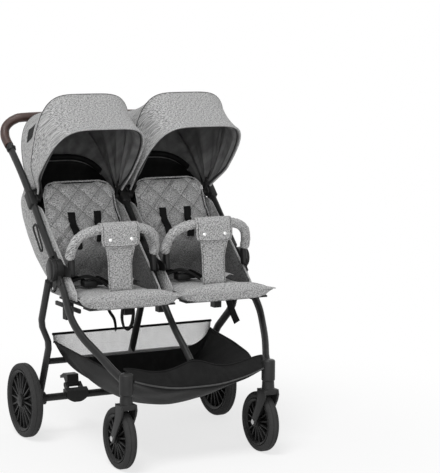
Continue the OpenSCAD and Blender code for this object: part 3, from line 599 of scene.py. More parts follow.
# The axle's middle, the radius, the width and the number of spokes
WHEELS = {"rear": ((350, 240, 120), 120, 36, 18), "front": (FRONT_AXLE, 94, 34, 16)}
for name, s in SIDES.items():
    for end, ((x, y, z), radius, width, spokes) in WHEELS.items():
        wheel(f"{end}_{name}", f"{end}_wheel_{name}", spot(s * x, y, z), radius, width, spokes, s,
              (f"{end}_tyre_{name}", f"{end}_rim_{name}"))
print("wheels", 4)

# %% [markdown]
# ## Front forks
#
# A fork is one moulding: a crown under the swivel housing and two arms that sweep back to the wheel's
# bolt. Its side view is drawn as an outline, extruded to an arm's thickness and rounded, and a bevelled
# block ties the two arms over the tyre.

# %% Forks
ARM_SHAPE = [(-314, 206), (-318, 190), (-312, 172), (-292, 140), (-268, 104), (-262, 88), (-254, 80),
             (-242, 80), (-234, 88), (-234, 101), (-246, 126), (-262, 156), (-268, 178), (-268, 206)]
ARM_IN, ARM_OUT = 19.5, 25.5


def moulded_plate(bm, outline, x0, x1, edge):
    """An outline in (y, z) extruded between two planes square to X, with rounded edges."""
    start = len(bm.verts)
    face = bm.faces.new([bm.verts.new(spot(x0, y, z)) for y, z in outline])
    grown = bmesh.ops.extrude_face_region(bm, geom=[face])
    moved = [item for item in grown["geom"] if isinstance(item, bmesh.types.BMVert)]
    bmesh.ops.translate(bm, verts=moved, vec=((x1 - x0) * MM, 0, 0))
    bm.verts.ensure_lookup_table()
    made = {vert for vert in bm.verts[start:]}
    faces = [f for f in bm.faces if all(vert in made for vert in f.verts)]
    bmesh.ops.recalc_face_normals(bm, faces=faces)
    rims = [e for e in bm.edges if e.verts[0] in made and e.verts[1] in made
            and abs(e.verts[0].co.x - e.verts[1].co.x) < 1e-6]
    rounded_off(bm, rims, edge)


def rounded_block(bm, low, high, edge, lean=None):
    """A block between two corners of the drawing, with rounded edges."""
    made = bmesh.ops.create_cube(bm, size=1)["verts"]
    a, b = spot(*low), spot(*high)
    for vert in made:
        vert.co = Vector((mix(a[i], b[i], vert.co[i] + 0.5) for i in range(3)))
    if lean:
        bmesh.ops.rotate(bm, verts=made, cent=(a + b) / 2, matrix=Matrix.Rotation(math.radians(lean), 3, "X"))
    rounded_off(bm, list({e for vert in made for e in vert.link_edges}), edge)


for name, s in SIDES.items():
    bm = bmesh.new()
    middle = s * FRONT_AXLE[0]
    for k in (-1, 1):
        moulded_plate(bm, ARM_SHAPE, middle + k * ARM_IN, middle + k * ARM_OUT, 2)
    rounded_block(bm, (middle - ARM_OUT + 1, -315, 189), (middle + ARM_OUT - 1, -269, 207), 5)
    bmesh.ops.create_cone(bm, cap_ends=True, segments=40, radius1=20 * MM, radius2=18.5 * MM, depth=28 * MM,
                          matrix=Matrix.Translation(spot(middle, -293, 217.5)))
    fork = finished(f"fork_moulding_{name}", bm, frame_coat, "black_plastic", f"caster_{name}", 30)
    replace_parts(fork, f"fork_{name}")
print("forks", 2)

# %% [markdown]
# ## Canopies
#
# A canopy is a taut skin over three bows that all turn about one clip beside the backrest. The drawing
# gives each bow as an arch: flat on top with round shoulders, narrowing to the clip. Between two bows the
# skin runs straight and is drawn in a little towards the clips, as stretched cloth is. It is cut at the
# middle bow, where the piping sits, because the two panels fold about different hinges.

# %% The arches
RIM_TILT, MID_TILT, REAR_TILT, HEM_TILT = -46, -17.5, 36, 87
CANOPY_HALF, CANOPY_FOOT, CANOPY_OUT = 164, 146, 10
HEM_OVER_BOW = 0.9
RIM_EDGE = RIM_TILT - HEM_OVER_BOW
PANEL_SAG = 0.03
REAR_STITCH = 0.95


def arch_point(tilt, f, inset):
    """A point on the arch at a tilt: f runs from -1 to 1 across it, inset is how far inside it lies."""
    roundness = 2 / lookup(tilt, ((RIM_TILT, 4.6), (MID_TILT, 4.6), (REAR_TILT, 2.8), (80, 4)))
    radius = lookup(tilt, ((RIM_TILT, 344), (MID_TILT, 350), (REAR_TILT, 328), (REAR_TILT + 8, 252),
                           (REAR_TILT + 22, 200), (HEM_TILT, 176)))
    half = lookup(tilt, ((MID_TILT, CANOPY_HALF), (REAR_TILT, CANOPY_HALF - 6),
                         (REAR_TILT + 8, CANOPY_FOOT - 5)))
    shift = lookup(tilt, ((MID_TILT, CANOPY_OUT), (REAR_TILT, 0)))
    turn = math.pi / 2 * math.sin(math.pi / 2 * f)
    height = (radius - inset) * max(math.cos(turn), 0) ** roundness
    spread = smooth((height - 20) / 110)
    across = mix(CANOPY_FOOT, half - inset, spread) * math.copysign(abs(math.sin(turn)) ** roundness, turn)
    lean = math.radians(tilt)
    return across + spread * shift, CLIP[0] + height * math.sin(lean), CLIP[1] + height * math.cos(lean)


def arch_end(tilt):
    """How far towards the clip the cloth reaches."""
    return lookup(tilt, ((RIM_TILT, 0.955), (MID_TILT, 0.93), (REAR_TILT, 0.84), (HEM_TILT, 0.8)))


def canopy_spot(s, tilt, f, inset=0.0):
    x, y, z = arch_point(tilt, f * arch_end(tilt), inset)
    return spot(s * (SEAT_X + x), y, z)


def panel_spot(s, first, last, f, v, inset=0.0):
    """A place on the cloth stretched between two bows."""
    place = canopy_spot(s, first, f, inset).lerp(canopy_spot(s, last, f, inset), v)
    return place.lerp(spot(s * SEAT_X, *CLIP), PANEL_SAG * 4 * v * (1 - v))


def arch_line(s, tilt, inset, steps=72):
    return [canopy_spot(s, tilt, 2 * i / steps - 1, inset) for i in range(steps + 1)]


# %% Canopy skins
SKIN = 1.6
CANOPY_CUT = 900
UNDER_BOW = 12.2


def canopy_panel(name, s, first, last, finish, inset, folds, flip):
    """A panel between two tilts. Inset and folds are functions of the place from one bow to the next."""
    def place(u, v):
        f = 2 * u - 1
        return panel_spot(s, first, last, f, v, inset(v) + folds(f, v))
    return finished(name, grid_sheet(80, 20, place, flip), finish, "grey_fabric")


def taut(v):
    return 0.0


def smooth_cloth(f, v):
    return 0.0


def radiating(f, v):
    """Loose folds that fan out from the clip and fade towards the crown."""
    wave = math.sin(math.tau * (2.2 * v + 0.3 * f)) + 0.5 * math.sin(math.tau * (5.1 * v - 0.2 * f))
    return 4.5 * smooth((abs(f) - 0.25) / 0.5) * (1 + wave) * math.sin(math.pi * v) ** 0.7


def inside_bow(v):
    """The lining turns round the front bow and then runs below the bows."""
    return mix(1.2, UNDER_BOW, smooth(v / 0.09))


def below_bows(v):
    return mix(UNDER_BOW, 20, v)


for name, s in SIDES.items():
    outward = s > 0
    front = canopy_panel(f"canopy_front_{name}", s, RIM_EDGE, MID_TILT, grey_cloth, taut, smooth_cloth,
                         outward)
    back = canopy_panel(f"canopy_back_{name}", s, MID_TILT, REAR_TILT, grey_cloth, taut, smooth_cloth,
                        outward)
    lining_front = canopy_panel(f"lining_front_{name}", s, RIM_EDGE, MID_TILT, lining_cloth, inside_bow,
                                radiating, not outward)
    lining_back = canopy_panel(f"lining_back_{name}", s, MID_TILT, REAR_TILT, lining_cloth, below_bows,
                               radiating, not outward)
    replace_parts(front, f"canopy_{name}")
    stitched = [panel_spot(s, MID_TILT, REAR_TILT, i / 36 - 1, REAR_STITCH) for i in range(73)]
    for part, line, radius, finish, slot, body in (
        ("rim_binding", arch_line(s, RIM_EDGE, 0.6), 3.1, binding_cloth, "grey_fabric", f"visor_{name}"),
        ("mid_piping", arch_line(s, MID_TILT, -0.6), 1.9, piping_cloth, "black_fabric", f"canopy_{name}"),
        ("rear_piping", arch_line(s, REAR_TILT, -0.6), 1.9, piping_cloth, "black_fabric", "push_frame"),
        ("rear_stitch", stitched, 1.1, piping_cloth, "black_fabric", "push_frame"),
    ):
        corded(f"{part}_{name}", line, radius, finish, slot, body)
    for piece in (front, back, lining_front, lining_back):
        thick(piece, SKIN)
        declare_sheet(piece, CANOPY_CUT)
    for piece, fixed, turning, start, end in (
        (front, f"canopy_{name}", f"visor_{name}", MID_TILT, RIM_TILT),
        (lining_front, f"canopy_{name}", f"visor_{name}", MID_TILT, RIM_TILT),
        (back, "push_frame", f"canopy_{name}", REAR_TILT, MID_TILT),
        (lining_back, "push_frame", f"canopy_{name}", REAR_TILT, MID_TILT),
    ):
        canopy_spot(s, start, 0)
        canopy_spot(s, end, 0)
        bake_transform(piece)
print("canopies", 2)

# %% [markdown]
# ## Seat shells
#
# Behind the rear bow the cloth hangs down as a curtain, and below the clips it becomes the shell round the
# sides and back of the seat. Curtain and shell are one sheet here. Inside it are a dark lining behind the
# curtain, a sheet below the clips that is near black as painted shade on the seat's sides, and a blind
# rolled up under the bow. The bow and the bound front edges stay with the push frame.

# %% Shells
SHELL_HALF = 141
SHELL_LOW, SHELL_HIGH = ROD[1] - 17, CLIP[1] + 1
WING_Z = 506
SHELL_BACK = tuple((ROD[1] + z, ROD[0] + y) for z, y in (
    (13, 72), (42, 130), (84, 198), (140, 256), (196, 298), (236, 311), (266.25, 315)))
CURTAIN, CURTAIN_TOP = 0.4, 0.15
SHELL_CUT, CURTAIN_CUT = 640, 560
CLIP_LOW = CLIP[1] - 26


def shell_front(z):
    """Y of the shell's bound front edge at a height; it runs down to the leg rest's rear corner."""
    if z > CLIP_LOW:
        return CLIP[0] + 4 + (z - CLIP[1]) * 0.6
    return mix(ROD[0] - 172, CLIP[0] - 42, max(0, (z - WING_Z) / (CLIP_LOW - WING_Z)))


def shell_point(f, z):
    turn = math.pi / 2 * math.sin(math.pi / 2 * f)
    across = SHELL_HALF * math.copysign(abs(math.sin(turn)) ** 0.2, turn)
    depth = max(math.cos(turn), 0) ** 0.2
    return across, mix(shell_front(z), lookup(z, SHELL_BACK), depth), z


def shell_place(f, v):
    """From the rear bow at v = 0, down the curtain, to the seat at v = 1."""
    tilt = mix(REAR_TILT, HEM_TILT, v / CURTAIN)
    hung = Vector(arch_point(min(tilt, HEM_TILT), f * arch_end(tilt), 0))
    low = Vector(shell_point(f, mix(SHELL_HIGH, SHELL_LOW, max(0, (v - CURTAIN) / (1 - CURTAIN)))))
    place = hung.lerp(low, smooth((v - CURTAIN + 0.09) / 0.18))
    ripple = math.sin(math.pi * f * 2.5) * math.sin(math.pi * smooth((v - 0.3) / 0.7))
    place.y += 5 * ripple * (1 - abs(f)) ** 0.5
    return place


def shell_spot(s, f, v):
    x, y, z = shell_place(f, v)
    return spot(s * (SEAT_X + x), y, z)


def dark_spot(s, f, v):
    """A place on the dark cloth inside the curtain."""
    x, y, z = shell_place(f * 0.97, v)
    return spot(s * (SEAT_X + x * 0.955), y - 8, z - 9 * (1 - v))


def inner_spot(s, f, v):
    """A place on the cloth that lines the shell below the clips, out to its bound edges."""
    x, y, z = shell_place(f * 0.9995, v)
    return spot(s * (SEAT_X + x * 0.982), y - 4, z + 4)


def shell_sheet(name, s, cells, place, span, finish, slot, inward, body=None):
    """A sheet over a span of the way from the rear bow to the seat, put in place by a function."""
    bm = grid_sheet(*cells, lambda u, v: place(s, 2 * u - 1, mix(*span, v)), (s > 0) == inward)
    piece = finished(name, bm, finish, slot, body)
    thick(piece, SKIN, 0.0)
    return piece


for name, s in SIDES.items():
    shell = shell_sheet(f"seat_shell_{name}", s, (64, 44), shell_spot, (0, 1), grey_cloth, "grey_fabric",
                        False)
    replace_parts(shell, f"seat_tub_{name}")
    declare_sheet(shell, SHELL_CUT)
    upper = shell_sheet(f"curtain_top_{name}", s, (56, 10), dark_spot, (0, CURTAIN_TOP), lining_cloth,
                        "grey_fabric", True, "push_frame")
    declare_sheet(upper, CURTAIN_CUT)
    dark = shell_sheet(f"curtain_lining_{name}", s, (56, 26), dark_spot, (CURTAIN_TOP, 0.72), basket_cloth,
                       "black_fabric", True)
    declare_sheet(dark, CURTAIN_CUT)
    # A sheet inside the shell below the clips, near black only as painted shade on the seat's sides.
    inside = shell_sheet(f"shell_painted_shade_{name}", s, (64, 24), inner_spot, (0.66, 0.995), painted_shade_cloth,
                         "grey_fabric", True)
    declare_sheet(inside, SHELL_CUT)
    rolled = [dark_spot(s, mix(-0.6, 0.6, i / 30), 0.14) + Vector((0, -0.011, 0)) for i in range(31)]
    corded(f"blind_roll_{name}", rolled, 10, basket_cloth, "black_fabric", "push_frame")
    hem = [place + Vector((0, -0.003, -0.011)) for place in rolled]
    corded(f"blind_edge_{name}", hem, 2, lining_cloth, "grey_fabric", "push_frame")
    for k, edge in ((-1, "inner"), (1, "outer")):
        line = [shell_spot(s, k, mix(CURTAIN + 0.02, 1, i / 40)) for i in range(41)]
        corded(f"shell_binding_{edge}_{name}", line, 2.6, binding_cloth, "grey_fabric", "push_frame")
    for piece in (shell, dark, inside):
        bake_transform(piece)
print("shells", 2)

# %% [markdown]
# ## Padded pieces
#
# Seat, back and leg rest are stuffed pads. Each starts as a copy of its CAD solid, drawn in a little and
# remeshed into even cells, and is then blown up by a short cloth simulation with inner pressure, so that
# the faces crown and the sides pull in. The side that lies on a board is pinned. The quilting is pressed
# in afterwards, because the remesh would erase it. Both seats are alike, so one pad is simulated and its
# twin is a copy.

# %% Pad helpers
PLUMP_FRAMES = 20
PRESSURE = 4.0


def copy_of(node):
    """A merged copy of a CAD node's mesh."""
    bm = bmesh.new()
    bm.from_mesh(frame["nodes"][node].data)
    bmesh.ops.remove_doubles(bm, verts=bm.verts, dist=WELD_DISTANCE)
    bmesh.ops.recalc_face_normals(bm, faces=bm.faces)
    return bm


def evened(piece, cell):
    """The piece with its mesh rebuilt in even cells of that size in millimetres."""
    remesh = piece.modifiers.new("cells", "REMESH")
    remesh.mode = "VOXEL"
    remesh.voxel_size = cell * MM
    shaped = piece.evaluated_get(bpy.context.evaluated_depsgraph_get())
    mesh = bpy.data.meshes.new_from_object(shaped)
    piece.modifiers.remove(remesh)
    piece.data = mesh
    mesh.shade_smooth()
    return piece


def plumped(piece, cap, pinned):
    """Blows a pad up with cloth under pressure; cap is the furthest a point moves, in millimetres."""
    rest = [vert.co.copy() for vert in piece.data.vertices]
    held = piece.vertex_groups.new(name="held")
    held.add([i for i, place in enumerate(rest) if pinned(place)], 1.0, "REPLACE")
    cloth = piece.modifiers.new("stuffing", "CLOTH")
    cloth.settings.use_pressure = True
    cloth.settings.uniform_pressure_force = PRESSURE
    cloth.settings.effector_weights.gravity = 0
    cloth.settings.vertex_group_mass = "held"
    cloth.collision_settings.use_collision = False
    for step in range(1, PLUMP_FRAMES + 1):
        bpy.context.scene.frame_set(step)
    blown = piece.evaluated_get(bpy.context.evaluated_depsgraph_get()).data
    moved = [vert.co.copy() for vert in blown.vertices]
    piece.modifiers.remove(cloth)
    piece.vertex_groups.remove(held)
    for vert, start, end in zip(piece.data.vertices, rest, moved):
        step = end - start
        vert.co = start + step * min(1, cap * MM / max(step.length, 1e-9))
    bpy.context.scene.frame_set(1)
    return piece


def softened(bm, rounds):
    for _ in range(rounds):
        bmesh.ops.smooth_vert(bm, verts=bm.verts, factor=0.5, use_axis_x=True, use_axis_y=True,
                              use_axis_z=True)


def pad_from(node, name, cell, draw_in, cap, pinned, rounds=2):
    """A pad blown up from a CAD solid that was drawn in first."""
    piece = evened(finished(name, copy_of(node), grey_cloth, "grey_fabric"), cell)
    bm = bmesh.new()
    bm.from_mesh(piece.data)
    bm.normal_update()
    for vert in bm.verts:
        vert.co -= vert.normal * draw_in * MM
    softened(bm, rounds)
    bm.to_mesh(piece.data)
    bm.free()
    return plumped(piece, cap, pinned)


def reshaped(piece, change):
    """Moves every point of a piece by a function of its place and normal."""
    bm = bmesh.new()
    bm.from_mesh(piece.data)
    bm.normal_update()
    shifts = [change(vert.co, vert.normal) for vert in bm.verts]
    for vert, shift in zip(bm.verts, shifts):
        vert.co += shift
    bm.to_mesh(piece.data)
    bm.free()
    return piece


def subdivided(piece):
    finer = piece.modifiers.new("finer", "SUBSURF")
    finer.levels = finer.render_levels = 1


def twin_of(piece, name):
    """A copy of a right hand piece on the left seat."""
    twin = piece.copy()
    twin.data = piece.data.copy()
    twin.name = name
    twin.data.transform(Matrix.Translation((-2 * SEAT_X * MM, 0, 0)))
    bpy.context.collection.objects.link(twin)
    return twin


# %% [markdown]
# The backs are quilted in diamonds. Each point of the front face knows how far it is from the nearest line
# of stitches, and sinks towards it in a rounded valley. A thread is laid along the bottom. Below the quilting
# a plain panel with a few upright folds lies on the pad, and a binding runs round the edge. Pad, panel and
# binding share one cloth that is made darker towards the seat as painted shade.

# %% Back pads
BACK_LEAN = math.radians(23.5)
BACK_LOW, BACK_LEN, BACK_HALF, BACK_THICK = 10, 344, 135, 30
BACK_CORNER = 46
QUILT_LOW = 130
LOW_PANEL_W = 252
DIAMOND_W, DIAMOND_H = 75, 78.2
LINE_GAP = 1 / math.hypot(1 / DIAMOND_W, 1 / DIAMOND_H)


def on_back(place):
    """A scene point in the backrest's own frame, in millimetres: across, behind its face, up its slope."""
    x, y, z = place / MM
    y, z = y + MIDDLE_Y - ROD[0], z - ROD[1]
    return (x - SEAT_X, y * math.cos(BACK_LEAN) - z * math.sin(BACK_LEAN),
            y * math.sin(BACK_LEAN) + z * math.cos(BACK_LEAN))


def back_spot(s, x, y, z):
    """The scene point of a place in the backrest's frame."""
    return spot(s * SEAT_X + x, ROD[0] + y * math.cos(BACK_LEAN) + z * math.sin(BACK_LEAN),
                ROD[1] - y * math.sin(BACK_LEAN) + z * math.cos(BACK_LEAN))


def back_half(up):
    """Half the width of the pad at a share of its height."""
    k = max(0, min(1, (up - 1) * BACK_LEN / BACK_CORNER + 1))
    return BACK_HALF * (1 - 0.065 * smooth((up - 0.58) / 0.16)) - BACK_CORNER * (1 - math.sqrt(1 - k * k))


def to_stitches(x, z):
    """Distance to the nearest line of the diamond quilting."""
    rise = x / DIAMOND_W + (z - BACK_LOW) / DIAMOND_H
    fall = x / DIAMOND_W - (z - BACK_LOW) / DIAMOND_H
    return min(abs(rise - round(rise)), abs(fall - round(fall))) * LINE_GAP


def quilted(place, normal):
    x, y, z = on_back(place)
    up = (z - BACK_LOW) / BACK_LEN
    edge = max(abs(x) / back_half(up), abs(2 * up - 1))
    face = smooth((16 - y) / 8) * (1 - smooth((edge - 0.86) / 0.12)) * smooth((z - QUILT_LOW + 20) / 30)
    gap = to_stitches(x, z)
    sink = 7 * math.exp(-((gap / 7.5) ** 2)) - 2.6
    return -normal * sink * face * MM


def lies_on_board(place):
    return on_back(place)[1] > BACK_THICK - 8


back_pad = reshaped(pad_from("back_pad_right", "back_cushion_right", 4.5, 3.0, 6, lies_on_board), quilted)
back_pad.data.materials[0] = back_cloth_painted_shade
surface = BVHTree.FromPolygons([vert.co for vert in back_pad.data.vertices],
                               [face.vertices[:] for face in back_pad.data.polygons])


def on_pad(x, z, above=0.0):
    """The place on the right hand pad's face at x across and z up its slope, some millimetres above it."""
    ahead = back_spot(1, x, -80, z)
    toward = (back_spot(1, x, 0, z) - ahead).normalized()
    hit = surface.ray_cast(ahead, toward)[0]
    return (hit or back_spot(1, x, 0, z)) - toward * above * MM


def stitch_lines():
    """The quilting's threads: runs of points on the pad's face, cut off at its edge."""
    for lean in (-1, 1):
        for k in range(-4, 10):
            run = []
            for i in range(121):
                x = mix(-BACK_HALF, BACK_HALF, i / 120)
                z = BACK_LOW + DIAMOND_H * (k - lean * x / DIAMOND_W)
                up = (z - BACK_LOW) / BACK_LEN
                if z > QUILT_LOW and up < 0.965 and abs(x) < back_half(up) - 9:
                    run.append(on_pad(x, z, 0.3))
            if len(run) > 6:
                yield run


def low_panel_spot(u, v):
    """The plain panel below the quilting, with a few upright folds."""
    x = (2 * u - 1) * LOW_PANEL_W / 2
    z = mix(12, QUILT_LOW - 3, v)
    fold = math.sin(x / 17 + 0.9 * math.sin(x / 43)) * math.sin(math.pi * mix(0.15, 0.95, v))
    return on_pad(x, z, 2.4 + 1.8 * fold)


low_panel = finished("low_panel_right", grid_sheet(84, 24, low_panel_spot), back_cloth_painted_shade, "grey_fabric")
thick(low_panel, SKIN, 0.0)
threads = bmesh.new()
for run in stitch_lines():
    lay = corded("quilt_thread", run, 0.8, stitch_cloth, "grey_fabric")
    threads.from_mesh(lay.data)
    bpy.data.objects.remove(lay)
thread = finished("quilting_right", threads, stitch_cloth, "grey_fabric", corner=60)
heights = ([mix(0.06, 0.86, i / 20) for i in range(20)]
           + [1 - 0.14 * math.cos(math.pi / 2 * i / 12) for i in range(13)])
outline = ([(back_half(up), up) for up in heights] + [(back_half(1) * k / 6, 1.0) for k in range(5, -6, -1)]
           + [(-back_half(up), up) for up in reversed(heights)])
for name, s in SIDES.items():
    pad = back_pad if s > 0 else twin_of(back_pad, "back_cushion_left")
    quilting = thread if s > 0 else twin_of(thread, "quilting_left")
    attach(quilting, f"backrest_{name}")
    panel = low_panel if s > 0 else twin_of(low_panel, "low_panel_left")
    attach(panel, f"backrest_{name}")
    declare_sheet(panel, LOW_PANEL_W)
    subdivided(pad)
    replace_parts(pad, f"back_pad_{name}")
    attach(pad, f"backrest_{name}")
    line = [back_spot(s, x * 0.97, 8, BACK_LOW + BACK_LEN * up * 0.987) for x, up in outline]
    corded(f"back_binding_{name}", line, 2.4, back_cloth_painted_shade, "grey_fabric", f"backrest_{name}")
print("back pads", len(back_pad.data.vertices))

# %% [markdown]
# The seat cushions are plain. The leg rest is a flat pillow with a flange of two layers sewn round it, which
# runs out into a small ear at both front corners.

# %% Seat cushions and leg rests
SEAT_BOARD_Z = 476.4
SEAM_Z = 498
LEG_HALF = 159
LEG_FRONT, LEG_BACK = LEG_AXIS[0] - 64, LEG_AXIS[0] - 1


def on_seat_board(place):
    return place.z < (SEAT_BOARD_Z + 5) * MM


seat_pad = pad_from("seat_pad_right", "seat_cushion_right", 5.0, 2.5, 5, on_seat_board)
legrest = pad_from("legrest_pad_right", "legrest_cushion_right", 4.5, 2.5, 6, on_seat_board)


def flanged(place, normal):
    """Draws the faces in towards the seam round the leg rest and pulls its front corners out into ears."""
    x, y, z = place / MM
    x, y = x - SEAT_X, y + MIDDLE_Y
    near_seam = math.exp(-(((z - SEAM_Z) / 6) ** 2))
    side = smooth((abs(x) / LEG_HALF - 0.9) / 0.1)
    front = smooth((LEG_FRONT + 14 - y) / 14)
    ear = 8 * side * smooth((LEG_FRONT + 44 - y) / 44) * near_seam
    lip = 2.4 * max(side, front) * near_seam
    pucker = 1.2 * math.sin(x / 9.0 + 1.7 * math.sin(x / 31.0)) * smooth((abs(z - SEAM_Z) - 3) / 6) * front
    slack = smooth((-60 - x) / 50) * front * smooth((SEAM_Z - 2 - z) / 8)
    crease = 2.6 * math.sin((x + 0.8 * z) / 8.0) * slack
    low = smooth((SEAM_Z - z) / 14)
    fuller = Vector((normal.x, normal.y, 0)) * 6 * low
    drawn = Vector((math.copysign(ear, x), -0.5 * ear, -12 * low))
    return (drawn + fuller + normal * (lip - pucker - crease)) * MM


legrest = reshaped(legrest, flanged)
front_seam = [(x, LEG_FRONT - 2.5) for x in (-167, -158, -120, -60, 0, 60, 120, 158, 167)]
seam_path = ([(1 - LEG_HALF, LEG_BACK - 4), (-LEG_HALF, LEG_BACK - 30)] + front_seam
             + [(LEG_HALF, LEG_BACK - 30), (LEG_HALF - 1, LEG_BACK - 4)])
seam_line = curve_through([(x, y, SEAM_Z + 0.6) for x, y in seam_path], 6)
for name, s in SIDES.items():
    pad = seat_pad if s > 0 else twin_of(seat_pad, "seat_cushion_left")
    rest = legrest if s > 0 else twin_of(legrest, "legrest_cushion_left")
    for piece, node, body in ((pad, f"seat_pad_{name}", "seat_base"),
                              (rest, f"legrest_pad_{name}", f"legrest_{name}")):
        subdivided(piece)
        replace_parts(piece, node)
        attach(piece, body)
    line = [spot(s * SEAT_X + x, y, z) for x, y, z in seam_line]
    corded(f"legrest_seam_{name}", line, 1.5, binding_cloth, "grey_fabric", f"legrest_{name}")
print("seat cushions", len(seat_pad.data.vertices), "leg rests", len(legrest.data.vertices))

# %% [markdown]
# ## Bumper bars
#
# A bumper bar is a foam tube in a grey sleeve that gathers into small wrinkles where the bar bends. A flap
# wraps its middle and snaps shut in front, and a narrower strip runs from it down to the seat.

# %% Sleeves
BAR_R = 15.5
BAR_POINTS = [(143, 9, 40), (140, -6, 76), (122, -22, 111), (79, -34, 131), (0, -39, 136)]
bar_line = curve_through([Vector((x, BUMPER[0] + y, BUMPER[1] + z)) for x, y, z in
                          BAR_POINTS + [(-x, y, z) for x, y, z in reversed(BAR_POINTS[:-1])]], 12)
bar_length = [0.0]
for p, q in zip(bar_line, bar_line[1:]):
    bar_length.append(bar_length[-1] + (q - p).length)


def bar_frame(v):
    """The bar's middle at a share of its length, with the directions across it."""
    place = v * (len(bar_line) - 1)
    i = min(int(place), len(bar_line) - 2)
    middle = bar_line[i].lerp(bar_line[i + 1], place - i)
    ahead = (bar_line[min(i + 2, len(bar_line) - 1)] - bar_line[max(i - 1, 0)]).normalized()
    side = Vector((0, 1, 0))
    side = (side - ahead * side.dot(ahead)).normalized()
    return middle, side, ahead.cross(side), mix(bar_length[i], bar_length[i + 1], place - i)


def sleeve_spot(s, u, v):
    middle, side, up, run = bar_frame(v)
    turn = math.tau * u
    from_end = min(run, bar_length[-1] - run)
    round_end = math.sqrt(max(0, 1 - max(0, 1 - from_end / 11) ** 2))
    bend = math.exp(-(((from_end - 95) / 60) ** 2))
    wave = math.sin(run / 2.6 + 1.8 * math.sin(2 * turn + run / 40))
    wrinkle = 0.75 * (0.35 + bend) * wave * math.sin(run / 17) ** 2
    radius = (BAR_R - 0.4 + wrinkle) * max(0.02, round_end)
    x, y, z = middle + (side * math.cos(turn) + up * math.sin(turn)) * radius
    return spot(s * SEAT_X + x, y, z)


sleeves = []
for name, s in SIDES.items():
    bm = grid_sheet(36, 220, lambda u, v: sleeve_spot(s, u, v))
    bmesh.ops.remove_doubles(bm, verts=bm.verts, dist=0.00005)
    bmesh.ops.holes_fill(bm, edges=[e for e in bm.edges if e.is_boundary])
    bmesh.ops.recalc_face_normals(bm, faces=bm.faces)
    sleeve = finished(f"bumper_sleeve_{name}", bm, grey_cloth, "grey_fabric", "bumper", 70)
    sleeves.append(sleeve)
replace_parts(sleeves[0], "bumper_covers")
print("sleeves", len(sleeves), "bar length", round(bar_length[-1]))

# %% Flaps
BAR_MIDDLE = (BUMPER[0] - 39, BUMPER[1] + 136)
WRAP_R = BAR_R + 2.4
HEM_Z = BUMPER[1] + 77
SEAT_TOP = 506
WRAP_CUT, STRIP_CUT = 128, 84
STITCH_OUT = Vector((0, -0.0013, 0))
wrap_line = arc(BAR_MIDDLE, WRAP_R, -40, 180, 22)
wrap_line += [(BAR_MIDDLE[0] - WRAP_R - 0.5, mix(BAR_MIDDLE[1], HEM_Z, i / 10)) for i in range(1, 11)]
strip_line = curve_through([Vector((0, BUMPER[0] + y, z)) for y, z in (
    (-56.5, BUMPER[1] + 128), (-56, BUMPER[1] + 96), (-52, BUMPER[1] + 30), (-55, BUMPER[1] - 20),
    (-60, SEAT_TOP + 8), (-52, SEAT_TOP + 3))], 8)


def wrap_spot(s, u, v):
    """The flap round the bar: v runs from behind the bar over its top to the hem in front."""
    place = v * (len(wrap_line) - 1)
    i = min(int(place), len(wrap_line) - 2)
    y, z = (mix(a, b, place - i) for a, b in zip(wrap_line[i], wrap_line[i + 1]))
    across = 2 * u - 1
    low = smooth((v - 0.84) / 0.16)
    half = 64 - 4 * low**2
    hang = 9 * low * across**4
    return spot(s * SEAT_X + across * half, y + 2.2 * across**2 - 1.2 * low, z - 1.3 * across**2 + hang)


def strip_spot(s, u, v):
    _, y, z = along(strip_line, v)
    across = 2 * u - 1
    half = 58 - 16 * smooth((v - 0.12) / 0.3) - 3 * v
    ripple = 0.9 * math.sin(across * 4 + v * 9) * math.sin(math.pi * v)
    return spot(s * SEAT_X + across * half, y + 3 * across**2 * (1 - v) + ripple, z)


def border_line(place, inset, steps=24):
    """A line of points a little inside the sides and the far hem of a sheet."""
    down = [place(inset, mix(0.3, 1 - inset / 2, i / steps)) for i in range(steps + 1)]
    over = [place(mix(inset, 1 - inset, i / steps), 1 - inset / 2) for i in range(1, steps)]
    up = [place(1 - inset, mix(1 - inset / 2, 0.3, i / steps)) for i in range(steps + 1)]
    return down + over + up


snaps = bmesh.new()
flap_pieces = []
for name, s in SIDES.items():
    wrap = finished(f"flap_wrap_{name}", grid_sheet(28, 64, lambda u, v: wrap_spot(s, u, v)), grey_cloth,
                    "grey_fabric", "bumper")
    strip = finished(f"flap_strip_{name}", grid_sheet(24, 60, lambda u, v: strip_spot(s, u, v)), grey_cloth,
                     "grey_fabric", "bumper")
    for piece, width in ((wrap, WRAP_CUT), (strip, STRIP_CUT)):
        thick(piece, 2.2, 0.0)
        declare_sheet(piece, width)
        flap_pieces.append(piece)
    for part, place, radius in (("flap_stitch", wrap_spot, 0.8), ("strip_stitch", strip_spot, 0.7)):
        line = border_line(lambda u, v: place(s, u, v) + STITCH_OUT, 0.05)
        corded(f"{part}_{name}", line, radius, piping_cloth, "black_fabric", "bumper")
    for k in (-1, 1):
        bmesh.ops.create_uvsphere(snaps, u_segments=20, v_segments=10, radius=1, matrix=Matrix.Translation(
            spot(s * SEAT_X + k * 36, BAR_MIDDLE[0] - WRAP_R - 2.4, HEM_Z + 25)) @ Matrix.Diagonal(
            Vector((6.2, 2.4, 6.2)) * MM).to_4x4())
finished("flap_snaps", snaps, bright_snap, "steel", "bumper")
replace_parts(flap_pieces[0], "crotch_flaps")
print("flaps", len(flap_pieces))

# %% [markdown]
# ## Basket
#
# The basket is a black sling between the rear crossbar and the bowed front bar. Its front wraps the bar,
# with a piped edge below it, its floor sags, and its sides rise to a hem. The back is light open mesh
# with round lower corners. It is one lofted sheet: each row gives its place from front to back, its height
# in the middle and at the sides, and its half width.

